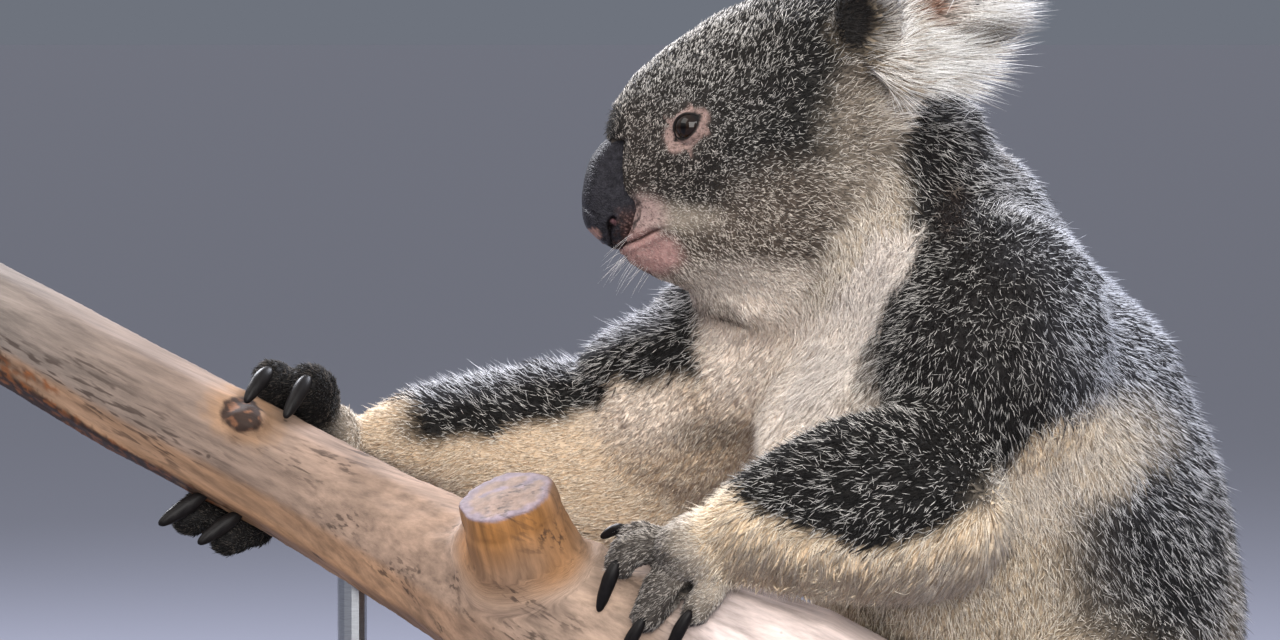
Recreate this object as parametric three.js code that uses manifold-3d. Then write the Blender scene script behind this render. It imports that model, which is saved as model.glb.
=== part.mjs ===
// A koala at life size, sitting astride a sloping branch and holding it with both hands.
// The animal faces -Y with its left side towards +X, and +Z is up. Millimetres.
// The solids reach to the tips of the coat. The branch is carried by two rods on a flat base.
// The origin is the centre of the base's underside.
import Module from "manifold-3d";
import * as THREE from "three";
import { mergeVertices } from "three/addons/utils/BufferGeometryUtils.js";

const wasm = await Module();
wasm.setup();

// ---- driving dimensions ----
const GAP = 0.3; // clearance between neighbouring solids
const BASE = { long: 560, wide: 330, thick: 20, corner: 30, bevel: 2 };
const BASE_CENTRE = [20, 65]; // where the base stands under the animal, before the move to the origin
const ROD_RADIUS = 7;
const ROD_SUNK = 8; // depth of a rod's foot in the base
const ROD_IN_BRANCH = 14; // how far a rod reaches into the branch
const RODS = [
  { name: "stand_rod_front", x: 10, y: -138, branchUnder: 243 },
  { name: "stand_rod_rear", x: 8, y: 292, branchUnder: 52 },
];
const EYE_RADIUS = 9;
const CHEST_YAW = 30; // the chest is turned to the animal's left, in degrees
const PELVIS_YAW = 18; // the pelvis lies along the branch

// ---- colours of the coat's main regions ----
const COLOUR = {
  grey: 0x77757a,
  tan: 0xbda98e,
  cream: 0xe3d8c4,
  leather: 0x303338,
  eye: 0x1c1512,
  claw: 0x1e1c1d,
  wood: 0xcdae90,
  steel: 0x9a9da1,
  board: 0x4a4036,
};

// ---- helpers: vectors and closed swept bodies ----
const vec = (v) => new THREE.Vector3(...v);
const radians = THREE.MathUtils.degToRad;

/** Turns a closed geometry into a manifold solid, facing out. */
function solid(geometry) {
  geometry.deleteAttribute("normal");
  geometry.deleteAttribute("uv");
  const merged = mergeVertices(geometry, 1e-4);
  const corners = new Uint32Array(merged.index.array);
  const build = () =>
    new wasm.Manifold(
      new wasm.Mesh({
        numProp: 3,
        vertProperties: new Float32Array(merged.attributes.position.array),
        triVerts: corners,
      }),
    );
  const made = build();
  if (made.volume() > 0) return made;
  for (let i = 0; i < corners.length; i += 3) {
    [corners[i + 1], corners[i + 2]] = [corners[i + 2], corners[i + 1]];
  }
  return build();
}

/** Turns a manifold solid back into a three.js geometry. */
function geometryOf(shape) {
  const mesh = shape.getMesh();
  const geometry = new THREE.BufferGeometry();
  geometry.setAttribute("position", new THREE.BufferAttribute(mesh.vertProperties, 3));
  geometry.setIndex(new THREE.BufferAttribute(mesh.triVerts, 1));
  return geometry;
}

/**
 * A closed body through a row of sections. Each section is { at, up, side }: its centre and its
 * two half axes as vectors. `blunt` is how square the ends are: 2 is an ellipsoid, 8 nearly flat.
 * `square` makes the section itself fuller than an ellipse when it is over 2, and `even` spaces
 * the rings evenly, where they otherwise crowd towards both ends.
 */
function sweep(sections, options = {}) {
  const { around = 16, rings = 10, blunt = 3, square = 2, grow = 0, even = false } = options;
  const curve = (key) =>
    new THREE.CatmullRomCurve3(
      sections.map((s) => s[key]),
      false,
      "catmullrom",
    );
  const [spine, up, side] = ["at", "up", "side"].map(curve);
  const geometry = new THREE.SphereGeometry(1, around, rings);
  const place = geometry.attributes.position;
  for (let i = 0; i < place.count; i++) {
    const p = new THREE.Vector3().fromBufferAttribute(place, i);
    const t = even ? Math.acos(p.y) / Math.PI : (1 - p.y) / 2;
    const angle = Math.atan2(p.z, p.x);
    const close = Math.max(0, 1 - Math.abs(2 * t - 1) ** blunt) ** (1 / blunt);
    const c = Math.cos(angle);
    const s = Math.sin(angle);
    const full = (Math.abs(c) ** square + Math.abs(s) ** square) ** (-1 / square);
    const u = up.getPoint(t);
    const v = side.getPoint(t);
    u.setLength(u.length() + grow);
    v.setLength(v.length() + grow);
    const at = spine.getPoint(t).addScaledVector(spine.getTangent(t), grow * (2 * t - 1));
    at.addScaledVector(u, close * full * c).addScaledVector(v, close * full * s);
    place.setXYZ(i, at.x, at.y, at.z);
  }
  return solid(geometry);
}

/** A section upright across a limb: centre, half depth, half width, and the limb's direction. */
function across(at, deep, wide, along, sideways = [1, 0, 0]) {
  const forward = vec(along).normalize();
  const side = vec(sideways).addScaledVector(forward, -vec(sideways).dot(forward)).normalize();
  const up = side.clone().cross(forward).normalize();
  return { at: vec(at), up: up.multiplyScalar(deep), side: side.multiplyScalar(wide) };
}

/** A limb through stations [x, y, z, half depth, half width]. */
function limb(stations, options = {}) {
  const points = stations.map((s) => s.slice(0, 3));
  const sections = stations.map((s, i) => {
    const before = vec(points[Math.max(0, i - 1)]);
    const after = vec(points[Math.min(points.length - 1, i + 1)]);
    const along = after.sub(before).toArray();
    return across(points[i], s[3], s[4] ?? s[3], along, options.sideways);
  });
  return sweep(sections, options);
}

/** A section of the head from its upper and lower outline, [y, z] each, and its half width. */
function profile(top, bottom, halfWidth, x = 0) {
  const [a, b] = [vec([x, ...top]), vec([x, ...bottom])];
  return {
    at: a.clone().add(b).multiplyScalar(0.5),
    up: a.sub(b).multiplyScalar(0.5),
    side: vec([halfWidth, 0, 0]),
  };
}

/** A section of the trunk: centre, half depth, half width, dorsal pitch and yaw in degrees. */
function trunkSection(at, deep, wide, pitch, yaw) {
  const [p, w] = [radians(pitch), radians(yaw)];
  const dorsal = vec([-Math.sin(w) * Math.cos(p), Math.cos(w) * Math.cos(p), Math.sin(p)]);
  const side = vec([Math.cos(w), Math.sin(w), 0]);
  return { at: vec(at), up: dorsal.multiplyScalar(deep), side: side.multiplyScalar(wide) };
}

/** An ellipsoid with half sizes [x, y, z], turned by [x, y, z] degrees. */
function ellipsoid(at, half, turn = [0, 0, 0], grow = 0, around = 16, rings = 10) {
  const geometry = new THREE.SphereGeometry(1, around, rings);
  geometry.scale(...half.map((h) => h + grow));
  geometry.rotateX(radians(turn[0])).rotateY(radians(turn[1])).rotateZ(radians(turn[2]));
  return solid(geometry.translate(...at));
}

const SIDES = { left: 1, right: -1 }; // the animal's left is towards +X

// ---- the plan: nodes in carving order, each one giving way to those before it ----
const plan = [];
const node = (name, colour, make, looks = {}) => plan.push({ name, colour, make, looks });

// ---- stand and perch ----
function rod({ x, y, branchUnder }, grow) {
  const low = BASE.thick - ROD_SUNK - grow;
  const high = branchUnder + ROD_IN_BRANCH + grow;
  const geometry = new THREE.CylinderGeometry(ROD_RADIUS + grow, ROD_RADIUS + grow, high - low, 12);
  return solid(geometry.rotateX(Math.PI / 2).translate(x, y, (low + high) / 2));
}

function baseBoard() {
  const [halfX, halfY] = [BASE.wide / 2 - BASE.bevel, BASE.long / 2 - BASE.bevel];
  const r = BASE.corner;
  const outline = new THREE.Shape();
  outline.absarc(halfX - r, halfY - r, r, 0, Math.PI / 2);
  outline.absarc(-halfX + r, halfY - r, r, Math.PI / 2, Math.PI);
  outline.absarc(-halfX + r, -halfY + r, r, Math.PI, Math.PI * 1.5);
  outline.absarc(halfX - r, -halfY + r, r, Math.PI * 1.5, Math.PI * 2);
  const geometry = new THREE.ExtrudeGeometry(outline, {
    depth: BASE.thick - 2 * BASE.bevel,
    bevelSize: BASE.bevel,
    bevelThickness: BASE.bevel,
    bevelSegments: 1,
    curveSegments: 2,
  });
  return solid(geometry.translate(...BASE_CENTRE, BASE.bevel));
}

const BRANCH = [
  // x, y, z, half depth, half width
  [-17, -345, 386, 26, 24],
  [-12, -308, 368, 26.5, 24.5],
  [-5, -241, 330.5, 28.5, 25],
  [0, -183, 301, 28.5, 26],
  [8, -147, 282, 29.5, 27],
  [30, -100, 258, 32, 31],
  [58, -59, 239, 37, 35],
  [76, -19, 229, 36, 35],
  [92, 47, 219, 35.5, 34],
  [90, 112, 189, 34.5, 34],
  [65, 170, 150, 33, 33],
  [30, 234, 110, 33, 33],
  [5, 318, 74, 33, 33],
  [-4, 352, 60, 33, 33],
];
const BRANCH_ENDS = [
  { at: [-15, -330, 380], out: [0.1, -0.88, 0.46] },
  { at: [2, 330, 69], out: [-0.25, 0.9, -0.38] },
];

function branch(grow) {
  let shape = limb(BRANCH, { around: 10, rings: 20, blunt: 14, even: true, grow });
  const stub = limb(
    [
      [62, -42, 232, 24],
      [74, -50, 254, 23],
      [84, -58, 276, 22],
      [90, -60, 290, 19],
    ],
    { around: 10, rings: 5, blunt: 7, grow },
  );
  const knot = ellipsoid([16, -189, 320], [10, 13, 11], [0, 0, 0], grow, 8, 5);
  shape = shape.add(stub).add(knot);
  for (const end of BRANCH_ENDS) {
    const out = vec(end.out).normalize().negate();
    shape = shape.trimByPlane(out.toArray(), out.dot(vec(end.at)) - grow);
  }
  return shape;
}

for (const r of RODS) node(r.name, "steel", (grow) => rod(r, grow), { metalness: 1, roughness: 0.4 });
node("stand_base", "board", baseBoard);
node("perch_branch", "wood", branch);

// ---- eyes and nose leather ----
const EYE = [32.5, 25, 463]; // the left eye's centre
for (const [side, sign] of Object.entries(SIDES)) {
  const at = [EYE[0] * sign, EYE[1], EYE[2]];
  const ball = (grow) => ellipsoid(at, Array(3).fill(EYE_RADIUS), [0, 0, 0], grow, 10, 6);
  node(`eye_${side}`, "eye", ball, { roughness: 0.08 });
}

function noseLeather(grow) {
  return sweep(
    [
      profile([-20.5, 458], [-11, 458], 8.5),
      profile([-22, 452], [-6, 453], 12),
      profile([-27.5, 440], [-8, 443], 14),
      profile([-29, 428], [-7, 433], 15.5),
      profile([-28, 416], [-3, 425], 17),
      profile([-20, 405], [-5, 415], 15),
      profile([-14, 402.5], [-6, 408], 10),
    ],
    { around: 14, rings: 9, blunt: 3.2, square: 2.3, grow },
  );
}
node("nose", "leather", noseLeather);

// ---- trunk and neck ----
const TRUNK = [
  trunkSection([6, 122, 430], 72, 66, 52, 14),
  trunkSection([10, 127, 391], 91, 84, 42, CHEST_YAW - 6),
  trunkSection([13, 143, 347], 104, 95, 32, CHEST_YAW),
  trunkSection([14, 166, 301], 107, 99, 22, CHEST_YAW - 2),
  trunkSection([13, 185, 250], 104, 99, 10, CHEST_YAW - 6),
  trunkSection([11, 196, 200], 96, 92, 0, PELVIS_YAW),
  trunkSection([9, 202, 160], 84, 80, -12, PELVIS_YAW),
  trunkSection([8, 206, 122], 62, 60, -20, PELVIS_YAW),
];
const trunk = (grow) => sweep(TRUNK, { around: 18, rings: 12, blunt: 3.4, square: 2.2, grow });
const WAIST = { at: [0, 182, 272], up: [0, 0.28, 0.96] }; // the cut between chest and belly

function half(shape, cut, sign, grow) {
  const normal = vec(cut.up).normalize().multiplyScalar(sign);
  return shape.trimByPlane(normal.toArray(), normal.dot(vec(cut.at)) - grow + GAP / 2);
}
node("chest", "cream", (grow) => half(trunk(grow), WAIST, 1, grow));
node("belly", "tan", (grow) => half(trunk(grow), WAIST, -1, grow));

const NECK = [
  trunkSection([0, 78, 455], 55, 54, 62, 0),
  trunkSection([2, 98, 445], 60, 58, 56, 5),
  trunkSection([6, 118, 425], 68, 66, 50, 14),
  trunkSection([8, 130, 400], 70, 74, 44, 20),
];
const neck = (grow) => sweep(NECK, { around: 14, rings: 5, blunt: 5, grow });

// ---- head, jaw and ears ----
const HEAD = [
  profile([-16, 464], [-8, 404], 15),
  profile([-13, 475], [-4, 395], 21),
  profile([-3, 488], [9, 387], 28),
  profile([13, 501], [26, 378], 37),
  profile([36, 516.5], [48, 372], 50),
  profile([66, 530], [74, 374], 61),
  profile([98, 533], [102, 386], 66),
  profile([128, 518], [124, 406], 56),
  profile([150, 490], [140, 434], 36),
];
const head = (grow) => sweep(HEAD, { around: 18, rings: 12, blunt: 4.5, square: 2.25, grow });

/** The lower jaw lies under the mouth line and in front of the throat. */
const MOUTH = { at: [0, -9, 403], up: [0, -0.4, 0.92] };
const JAW_BACK = { at: [0, 26, 412], up: [0, -0.87, -0.5] };
function jaw(grow) {
  return half(half(head(grow), MOUTH, -1, grow), JAW_BACK, 1, grow);
}

const EAR = [
  // x, y, z, half height, half thickness
  [52, 90, 499, 20, 17],
  [65, 107, 508, 36, 18],
  [79, 129, 516, 48, 17],
  [95, 154, 520, 51, 14],
  [109, 177, 521, 44, 10],
  [118, 192, 521, 30, 6],
];
const EAR_FACES = [0.83, -0.53, 0]; // the left ear opens outwards and forwards
const EAR_CUP = { at: [92, 116, 518], half: [13, 27, 30], turn: -32 };
function ear(sign, grow) {
  const stations = EAR.map(([x, ...rest]) => [x * sign, ...rest]);
  const sideways = [EAR_FACES[0] * sign, EAR_FACES[1], 0];
  const fan = limb(stations, { around: 14, rings: 7, blunt: 2.6, grow, sideways });
  const { at, half: size, turn } = EAR_CUP;
  return fan.subtract(ellipsoid([at[0] * sign, at[1], at[2]], size, [0, 0, turn * sign], 0, 12, 8));
}

node("lower_jaw", "cream", jaw);
node("head", "grey", head);
for (const [side, sign] of Object.entries(SIDES)) {
  node(`ear_${side}`, "cream", (grow) => ear(sign, grow));
}
node("neck", "grey", neck);

// ---- arms and hands ----
const ARMS = {
  left: {
    upper: [
      [52, 168, 424, 40, 40],
      [70, 172, 392, 50, 46],
      [90, 164, 350, 58, 45],
      [107, 160, 304, 52, 40],
    ],
    fore: [
      [116, 168, 300, 42, 38],
      [119, 140, 294, 49, 40],
      [121, 98, 290, 45, 36],
      [119, 66, 283, 35, 29],
      [116, 44, 277, 26, 24],
      [112, 28, 270, 20, 22],
    ],
  },
  right: {
    upper: [
      [-14, 104, 370, 52, 50],
      [-38, 76, 360, 52, 46],
      [-60, 40, 345, 55, 43],
      [-78, 18, 312, 58, 41],
      [-90, 10, 276, 60, 40],
    ],
    fore: [
      [-94, 36, 266, 44, 36],
      [-97, 2, 280, 57, 38],
      [-94, -32, 293, 54, 36],
      [-85, -62, 303, 42, 31],
      [-68, -96, 309, 31, 25],
      [-50, -124, 312, 21, 20],
      [-38, -140, 313, 15, 17],
    ],
  },
};
for (const [side, arm] of Object.entries(ARMS)) {
  const upper = (grow) => limb(arm.upper, { around: 12, rings: 8, blunt: 2.6, grow });
  const fore = (grow) => limb(arm.fore, { around: 12, rings: 9, blunt: 3.2, grow });
  node(`upper_arm_${side}`, "grey", upper);
  node(`forearm_${side}`, "grey", fore);
}

/** Each hand: the palm's stations, then each digit's, the last one being where its claw grows. */
const HANDS = {
  left: {
    palm: [
      [112, 38, 270, 18, 20],
      [111, 27, 269, 17, 23],
      [110, 17, 269, 14, 21],
      [108, 9, 270, 10, 16],
    ],
    digits: [
      {
        row: [[104, 22, 268, 8], [88, 12, 270, 8], [70, 4, 266, 7.5], [54, 0, 256, 6]],
        claw: [44, -5, 242],
      },
      {
        row: [[106, 16, 270, 8], [100, 4, 273, 7.5], [95, -4, 273, 6.5], [91, -9, 273, 5]],
        claw: [87, -19, 272],
      },
      {
        row: [[108, 11, 270, 9], [109, -1, 270, 9], [110, -9, 264, 8], [111, -11, 256, 7]],
        claw: [112, -20, 238],
      },
      {
        row: [[110, 22, 266, 10], [115, 15, 257, 9.5], [118, 6, 244, 8.5], [119, -1, 231, 6]],
        claw: [118, -12, 213],
      },
      {
        row: [[114, 37, 262, 10], [119, 33, 254, 8], [122, 28, 245, 7], [123, 22, 235, 6]],
        claw: [122, 11, 217],
      },
    ],
  },
  right: {
    palm: [
      [-40, -138, 314, 15, 16],
      [-34, -152, 312, 16, 19],
      [-32, -168, 304, 16, 21],
      [-30, -180, 292, 13, 19],
    ],
    digits: [
      {
        row: [[-28, -154, 318, 12], [-14, -157, 332, 12], [0, -159, 339, 11], [11, -162, 341, 8]],
        claw: [22, -169, 325],
      },
      {
        row: [[-30, -166, 316, 12], [-16, -172, 333, 11], [-2, -176, 341, 10], [8, -180, 344, 8]],
        claw: [18, -188, 332],
      },
      {
        row: [[-30, -172, 292, 10], [-20, -180, 276, 11], [-4, -194, 266, 10], [8, -205, 263, 8]],
        claw: [14, -213, 262],
        nail: [6, -192, 277],
      },
      {
        row: [[-33, -168, 301, 11], [-26, -194, 288, 12], [-10, -211, 277, 11], [6, -223, 271, 8.5]],
        claw: [13, -232, 271],
        nail: [5, -209, 286],
      },
      {
        row: [[-34, -158, 292, 10], [-32, -160, 282, 9], [-30, -166, 277, 8], [-28, -173, 277, 7]],
        claw: [-24, -184, 279],
      },
    ],
  },
};

// ---- legs and feet ----
const LEGS = {
  left: {
    thigh: [
      [56, 250, 188, 54, 38],
      [76, 226, 194, 56, 40],
      [94, 196, 200, 50, 37],
      [106, 172, 200, 40, 32],
    ],
    shank: [
      [106, 170, 194, 34, 28],
      [107, 178, 170, 31, 25],
      [104, 192, 146, 25, 22],
      [100, 204, 130, 19, 18],
    ],
    foot: [
      [95, 210, 122, 17, 14],
      [102, 192, 127, 18, 15],
      [111, 172, 137, 18, 14],
      [117, 154, 147, 16, 12],
    ],
    digits: [
      {
        row: [[110, 172, 150, 9], [104, 166, 166, 9], [97, 162, 178, 8], [92, 160, 186, 6.5]],
      },
      {
        row: [[116, 160, 158, 8], [118, 148, 173, 8], [118, 136, 184, 7], [119, 127, 191, 5.5]],
        claw: [123, 117, 196],
      },
      {
        row: [[119, 157, 150, 8], [121, 145, 162, 8], [122, 133, 172, 7], [123, 124, 178, 5.5]],
        claw: [125, 114, 181],
      },
      {
        row: [[119, 155, 142, 10], [118, 141, 150, 10], [123, 128, 158, 9], [125, 117, 165, 7]],
        claw: [124, 102, 168],
      },
      {
        row: [[114, 158, 134, 10], [109, 143, 136, 10], [113, 130, 145, 9], [115, 120, 153, 7]],
        claw: [115, 105, 161],
      },
    ],
  },
  right: {
    thigh: [
      [-46, 218, 188, 54, 38],
      [-56, 190, 194, 56, 40],
      [-58, 158, 200, 50, 37],
      [-52, 132, 200, 40, 32],
    ],
    shank: [
      [-48, 132, 194, 34, 28],
      [-34, 144, 170, 31, 25],
      [-14, 164, 146, 25, 22],
      [0, 182, 130, 19, 18],
    ],
    foot: [
      [6, 190, 120, 17, 14],
      [14, 172, 128, 18, 15],
      [25, 152, 142, 18, 14],
      [33, 134, 154, 16, 12],
    ],
    digits: [
      {
        row: [[24, 166, 150, 9], [32, 158, 172, 9], [37, 154, 184, 8], [42, 150, 191, 6.5]],
      },
      {
        row: [[34, 142, 166, 8], [46, 128, 192, 8], [53, 118, 199, 7], [57, 110, 203, 5.5]],
        claw: [60, 101, 206],
      },
      {
        row: [[36, 138, 160, 8], [42, 126, 178, 8], [48, 115, 187, 7], [52, 107, 191, 5.5]],
        claw: [55, 98, 195],
      },
      {
        row: [[34, 138, 150, 10], [43, 125, 162, 10], [49, 113, 170, 9], [52, 103, 175, 7]],
        claw: [55, 88, 180],
      },
      {
        row: [[32, 140, 142, 10], [50, 128, 147, 10], [58, 116, 155, 9], [62, 106, 160, 7]],
        claw: [64, 92, 168],
      },
    ],
  },
};
for (const [side, leg] of Object.entries(LEGS)) {
  const thigh = (grow) => limb(leg.thigh, { around: 12, rings: 7, blunt: 2.6, grow });
  const shank = (grow) => limb(leg.shank, { around: 10, rings: 6, blunt: 2.8, grow });
  node(`thigh_${side}`, "tan", thigh);
  node(`shank_${side}`, "grey", shank);
}

/** A claw grows from the back of its digit's last joint, or from its nail, and hooks inwards. */
const BRANCH_LINE = new THREE.CatmullRomCurve3(BRANCH.map((s) => vec(s.slice(0, 3)))).getPoints(60);
function offBranch(place) {
  const nearest = (a, b) => (b.distanceTo(place) < a.distanceTo(place) ? b : a);
  return place.clone().sub(BRANCH_LINE.reduce(nearest)).normalize();
}

function claw({ row, claw: end, nail }, grow) {
  const [before, root] = row.slice(-2).map((s) => vec(s.slice(0, 3)));
  const thick = row.at(-1)[3];
  const tip = vec(end);
  const lift = offBranch(root).multiplyScalar(thick * 0.8);
  const start = nail ? vec(nail) : root.clone().lerp(before, 0.6).add(lift);
  const bend = start.clone().lerp(tip, 0.45);
  if (!nail) bend.addScaledVector(lift, 0.45);
  const late = bend.clone().lerp(tip, 0.6);
  const stations = [
    [...start.toArray(), thick * 0.46, thick * 0.36],
    [...bend.toArray(), thick * 0.46, thick * 0.34],
    [...late.toArray(), thick * 0.32, thick * 0.24],
    [...tip.toArray(), 0.8, 0.8],
  ];
  return limb(stations, { around: 5, rings: 4, blunt: 4, even: true, grow });
}

const digit = ({ row }, grow) => limb(row, { around: 6, rings: 4, blunt: 2.8, grow });

function paw(palm, digits, grow) {
  const body = limb(palm, { around: 8, rings: 5, blunt: 2.8, grow });
  return digits.reduce((shape, d) => shape.add(digit(d, grow)), body);
}

for (const [side, hand] of Object.entries(HANDS)) {
  hand.digits.forEach((d, i) => {
    node(`claw_hand_${side}_${i + 1}`, "claw", (grow) => claw(d, grow), { roughness: 0.35 });
  });
  node(`hand_${side}`, "grey", (grow) => paw(hand.palm, hand.digits, grow));
}
for (const [side, leg] of Object.entries(LEGS)) {
  leg.digits.forEach((d, i) => {
    if (!d.claw) return;
    node(`claw_foot_${side}_${i + 1}`, "claw", (grow) => claw(d, grow), { roughness: 0.35 });
  });
  node(`foot_${side}`, "grey", (grow) => paw(leg.foot, leg.digits, grow));
}

// ---- carving and placing ----
const koala = new THREE.Group();
koala.position.set(-BASE_CENTRE[0], -BASE_CENTRE[1], 0);
const taken = [];
for (const { name, colour, make, looks } of plan) {
  let shape = make(0);
  for (const other of taken) shape = shape.subtract(other);
  const pieces = shape.decompose().sort((a, b) => b.volume() - a.volume());
  taken.push(make(GAP));
  const material = new THREE.MeshStandardMaterial({
    color: COLOUR[colour],
    roughness: 0.9,
    metalness: 0,
    ...looks,
  });
  const mesh = new THREE.Mesh(geometryOf(pieces[0]), material);
  mesh.name = name;
  koala.add(mesh);
}

const model = new THREE.Group();
model.add(koala);
export default model;
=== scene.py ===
# %% [markdown]
# # A koala resting on a branch
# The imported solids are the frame: they give every place and size. On the real animal nearly all
# that one sees is coat, so the work goes into one skin, the coat on it, and the bare parts of
# the face. The branch and the stand under it follow, and the floor and the light come last.

# %% Load the frame
import math

import bmesh
import bpy
import numpy as np
from mathutils import Matrix, Vector, noise
from mathutils.bvhtree import BVHTree


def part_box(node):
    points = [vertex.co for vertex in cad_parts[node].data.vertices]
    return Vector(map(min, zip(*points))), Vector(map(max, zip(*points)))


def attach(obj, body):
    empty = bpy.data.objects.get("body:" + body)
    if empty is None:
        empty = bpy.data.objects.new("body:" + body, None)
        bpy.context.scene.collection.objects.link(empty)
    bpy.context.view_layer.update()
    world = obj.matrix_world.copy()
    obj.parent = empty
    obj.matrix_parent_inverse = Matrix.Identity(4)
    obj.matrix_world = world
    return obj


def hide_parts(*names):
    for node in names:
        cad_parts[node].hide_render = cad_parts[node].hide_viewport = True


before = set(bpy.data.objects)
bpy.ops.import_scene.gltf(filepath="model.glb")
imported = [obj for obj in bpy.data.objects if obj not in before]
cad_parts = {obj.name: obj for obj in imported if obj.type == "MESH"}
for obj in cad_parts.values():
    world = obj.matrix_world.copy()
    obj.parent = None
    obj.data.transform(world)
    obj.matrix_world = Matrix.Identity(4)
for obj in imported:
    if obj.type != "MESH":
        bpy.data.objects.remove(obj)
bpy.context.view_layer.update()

print("frame:", len(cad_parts), "solids")

# %% [markdown]
# ## Places and colours
# Places could be given from the floor's middle, but on an animal they are easiest to measure
# and to check from one landmark. The middle between the two eyes serves: x runs to the
# animal's left, y to its back and z up, in millimetres. Colours are written as sRGB hex values,
# as a paint chart gives them, and one function turns them to the linear values of a shader.

# %% Places
MM = 0.001


def middle(node):
    low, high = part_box(node)
    return (low + high) / 2


BROW = np.array((middle("eye_left") + middle("eye_right")) / 2)


def spot(*places):
    """Places in millimetres from the brow, as an array in metres."""
    return BROW + np.array(places) * MM


def unit(v):
    v = np.asarray(v, float)
    return v / np.maximum(np.linalg.norm(v, axis=-1, keepdims=True), 1e-9)


def ease(low, high, x):
    """0 below low, 1 above high and smooth between them."""
    t = np.clip((np.asarray(x, float) - low) / (high - low), 0, 1)
    return t * t * (3 - 2 * t)


print("brow at", BROW.round(3))


# %% Colours
def linear(code):
    """An sRGB hex colour as linear red, green and blue."""
    s = np.array([int(code[i : i + 2], 16) for i in (1, 3, 5)]) / 255
    return np.where(s <= 0.04045, s / 12.92, ((s + 0.055) / 1.055) ** 2.4)


# Each tone of the coat: the hair's root, its middle, its tip, and how many hairs are pale.
# The dark tones' roots and middles are near black: partly the coat's own dark underfur, partly
# painted shade between the hairs.
TONES = {
    "slate": ("#060505", "#191614", "#f4efe9", 0.34),
    "silver": ("#141316", "#434348", "#e4e7f1", 0.66),
    "nape": ("#090707", "#201c1b", "#e2ddd7", 0.4),
    "brow": ("#0d0b0a", "#2d2926", "#ebe5de", 0.54),
    "crown": ("#080706", "#1b1816", "#dcd6cf", 0.29),
    "muzzle": ("#0f0d0c", "#2c2622", "#e2d8ce", 0.57),
    "cheek": ("#211b18", "#6e6156", "#f4e8da", 0.64),
    "cream": ("#8f8272", "#cbbdac", "#f2e8dc", 0.90),
    "white": ("#bfb3a9", "#d8cdc4", "#eae1d9", 1.0),
    "chest": ("#dccbbb", "#ecdfd2", "#f9f0e6", 1.0),
    "belly": ("#84735f", "#c6b49b", "#f6ebda", 0.8),
    "fringe": ("#b69d80", "#e6d2b6", "#faeeda", 0.92),
    "tan": ("#ad9479", "#dac6ae", "#f3e6d4", 0.88),
    "grizzle": ("#332d28", "#7a7066", "#e0d6ca", 0.55),
    "rust": ("#0f0b0a", "#292120", "#8d7f74", 0.25),
    "crease": ("#2f1f1c", "#46312d", "#6b5450", 0.2),
    "lip": ("#6f5854", "#96807a", "#c9b5ad", 0.55),
    "chin": ("#7f605b", "#a5827c", "#cdb2ab", 0.6),
    "ring": ("#54443e", "#8a736c", "#c2aea6", 0.5),
    "ear": ("#4a3f34", "#b09f89", "#fbf7f3", 0.8),
    "ear_edge": ("#958b81", "#d2c9c0", "#ffffff", 0.95),
    "ear_dark": ("#0b0807", "#171210", "#3a312b", 0.15),
    "ear_skin": ("#6a4f43", "#8f7062", "#c9b3a3", 0.6),
    "hand": ("#7d7266", "#bdae9c", "#e9dfd2", 0.8),
    "finger": ("#24201d", "#59524c", "#c9c0b6", 0.55),
    # The next tone is near-black coat painted as shade, on the far hand and in the notch above the
    # nose.
    "painted_shade": ("#090707", "#120f0e", "#5e564f", 0.24),
    "pad": ("#1a1515", "#292223", "#3d3635", 0.1),
    "black": ("#0a0807", "#120e0d", "#1a1614", 0.0),
}
TONE = {
    name: np.concatenate([linear(c) for c in codes] + [[share]])
    for name, (*codes, share) in TONES.items()
}
print(len(TONE), "tones of the coat")

# %% [markdown]
# ## Mesh helpers
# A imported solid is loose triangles, so a copy is merged before it is shaped. Subdividing its
# uneven facets would keep their edges, so a voxel remesh gives even faces instead, which can be
# smoothed and sculpted. Points are read into arrays, because a coat and a skin have too many
# of them to visit one by one.


# %% Copies and remeshes
def merged_copy(nodes, swell=0.0, place=None):
    """One bmesh of some solids. Each face keeps its solid's number as its material index."""
    whole = bmesh.new()
    for number, name in enumerate(nodes):
        part = bmesh.new()
        part.from_mesh(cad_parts[name].data)
        bmesh.ops.remove_doubles(part, verts=part.verts, dist=1e-5)
        if place and place(name):
            bmesh.ops.transform(part, matrix=place(name), verts=part.verts)
        part.normal_update()
        for v in part.verts:
            v.co += v.normal * swell
        for f in part.faces:
            f.material_index = number
        mesh = bpy.data.meshes.new("part")
        part.to_mesh(mesh)
        part.free()
        whole.from_mesh(mesh)
        bpy.data.meshes.remove(mesh)
    return whole


def as_mesh(shape, name):
    mesh = bpy.data.meshes.new(name)
    shape.to_mesh(mesh)
    shape.free()
    return mesh


def as_object(mesh, name):
    piece = bpy.data.objects.new(name, mesh)
    bpy.context.scene.collection.objects.link(piece)
    return piece


def with_modifier(mesh, kind, **settings):
    """The mesh after one modifier is applied."""
    temp = as_object(mesh, "temp")
    modifier = temp.modifiers.new(kind.lower(), kind)
    for key, value in settings.items():
        setattr(modifier, key, value)
    made = bpy.data.meshes.new_from_object(
        temp.evaluated_get(bpy.context.evaluated_depsgraph_get())
    )
    bpy.data.objects.remove(temp)
    bpy.data.meshes.remove(mesh)
    return made


# %% Reading and writing points
def read(mesh, what="co"):
    values = np.empty(len(mesh.vertices) * 3, np.float32)
    mesh.vertices.foreach_get(what, values)
    return values.reshape(-1, 3).astype(float)


def write(mesh, co):
    mesh.vertices.foreach_set("co", np.asarray(co, np.float32).ravel())
    mesh.update()


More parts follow.
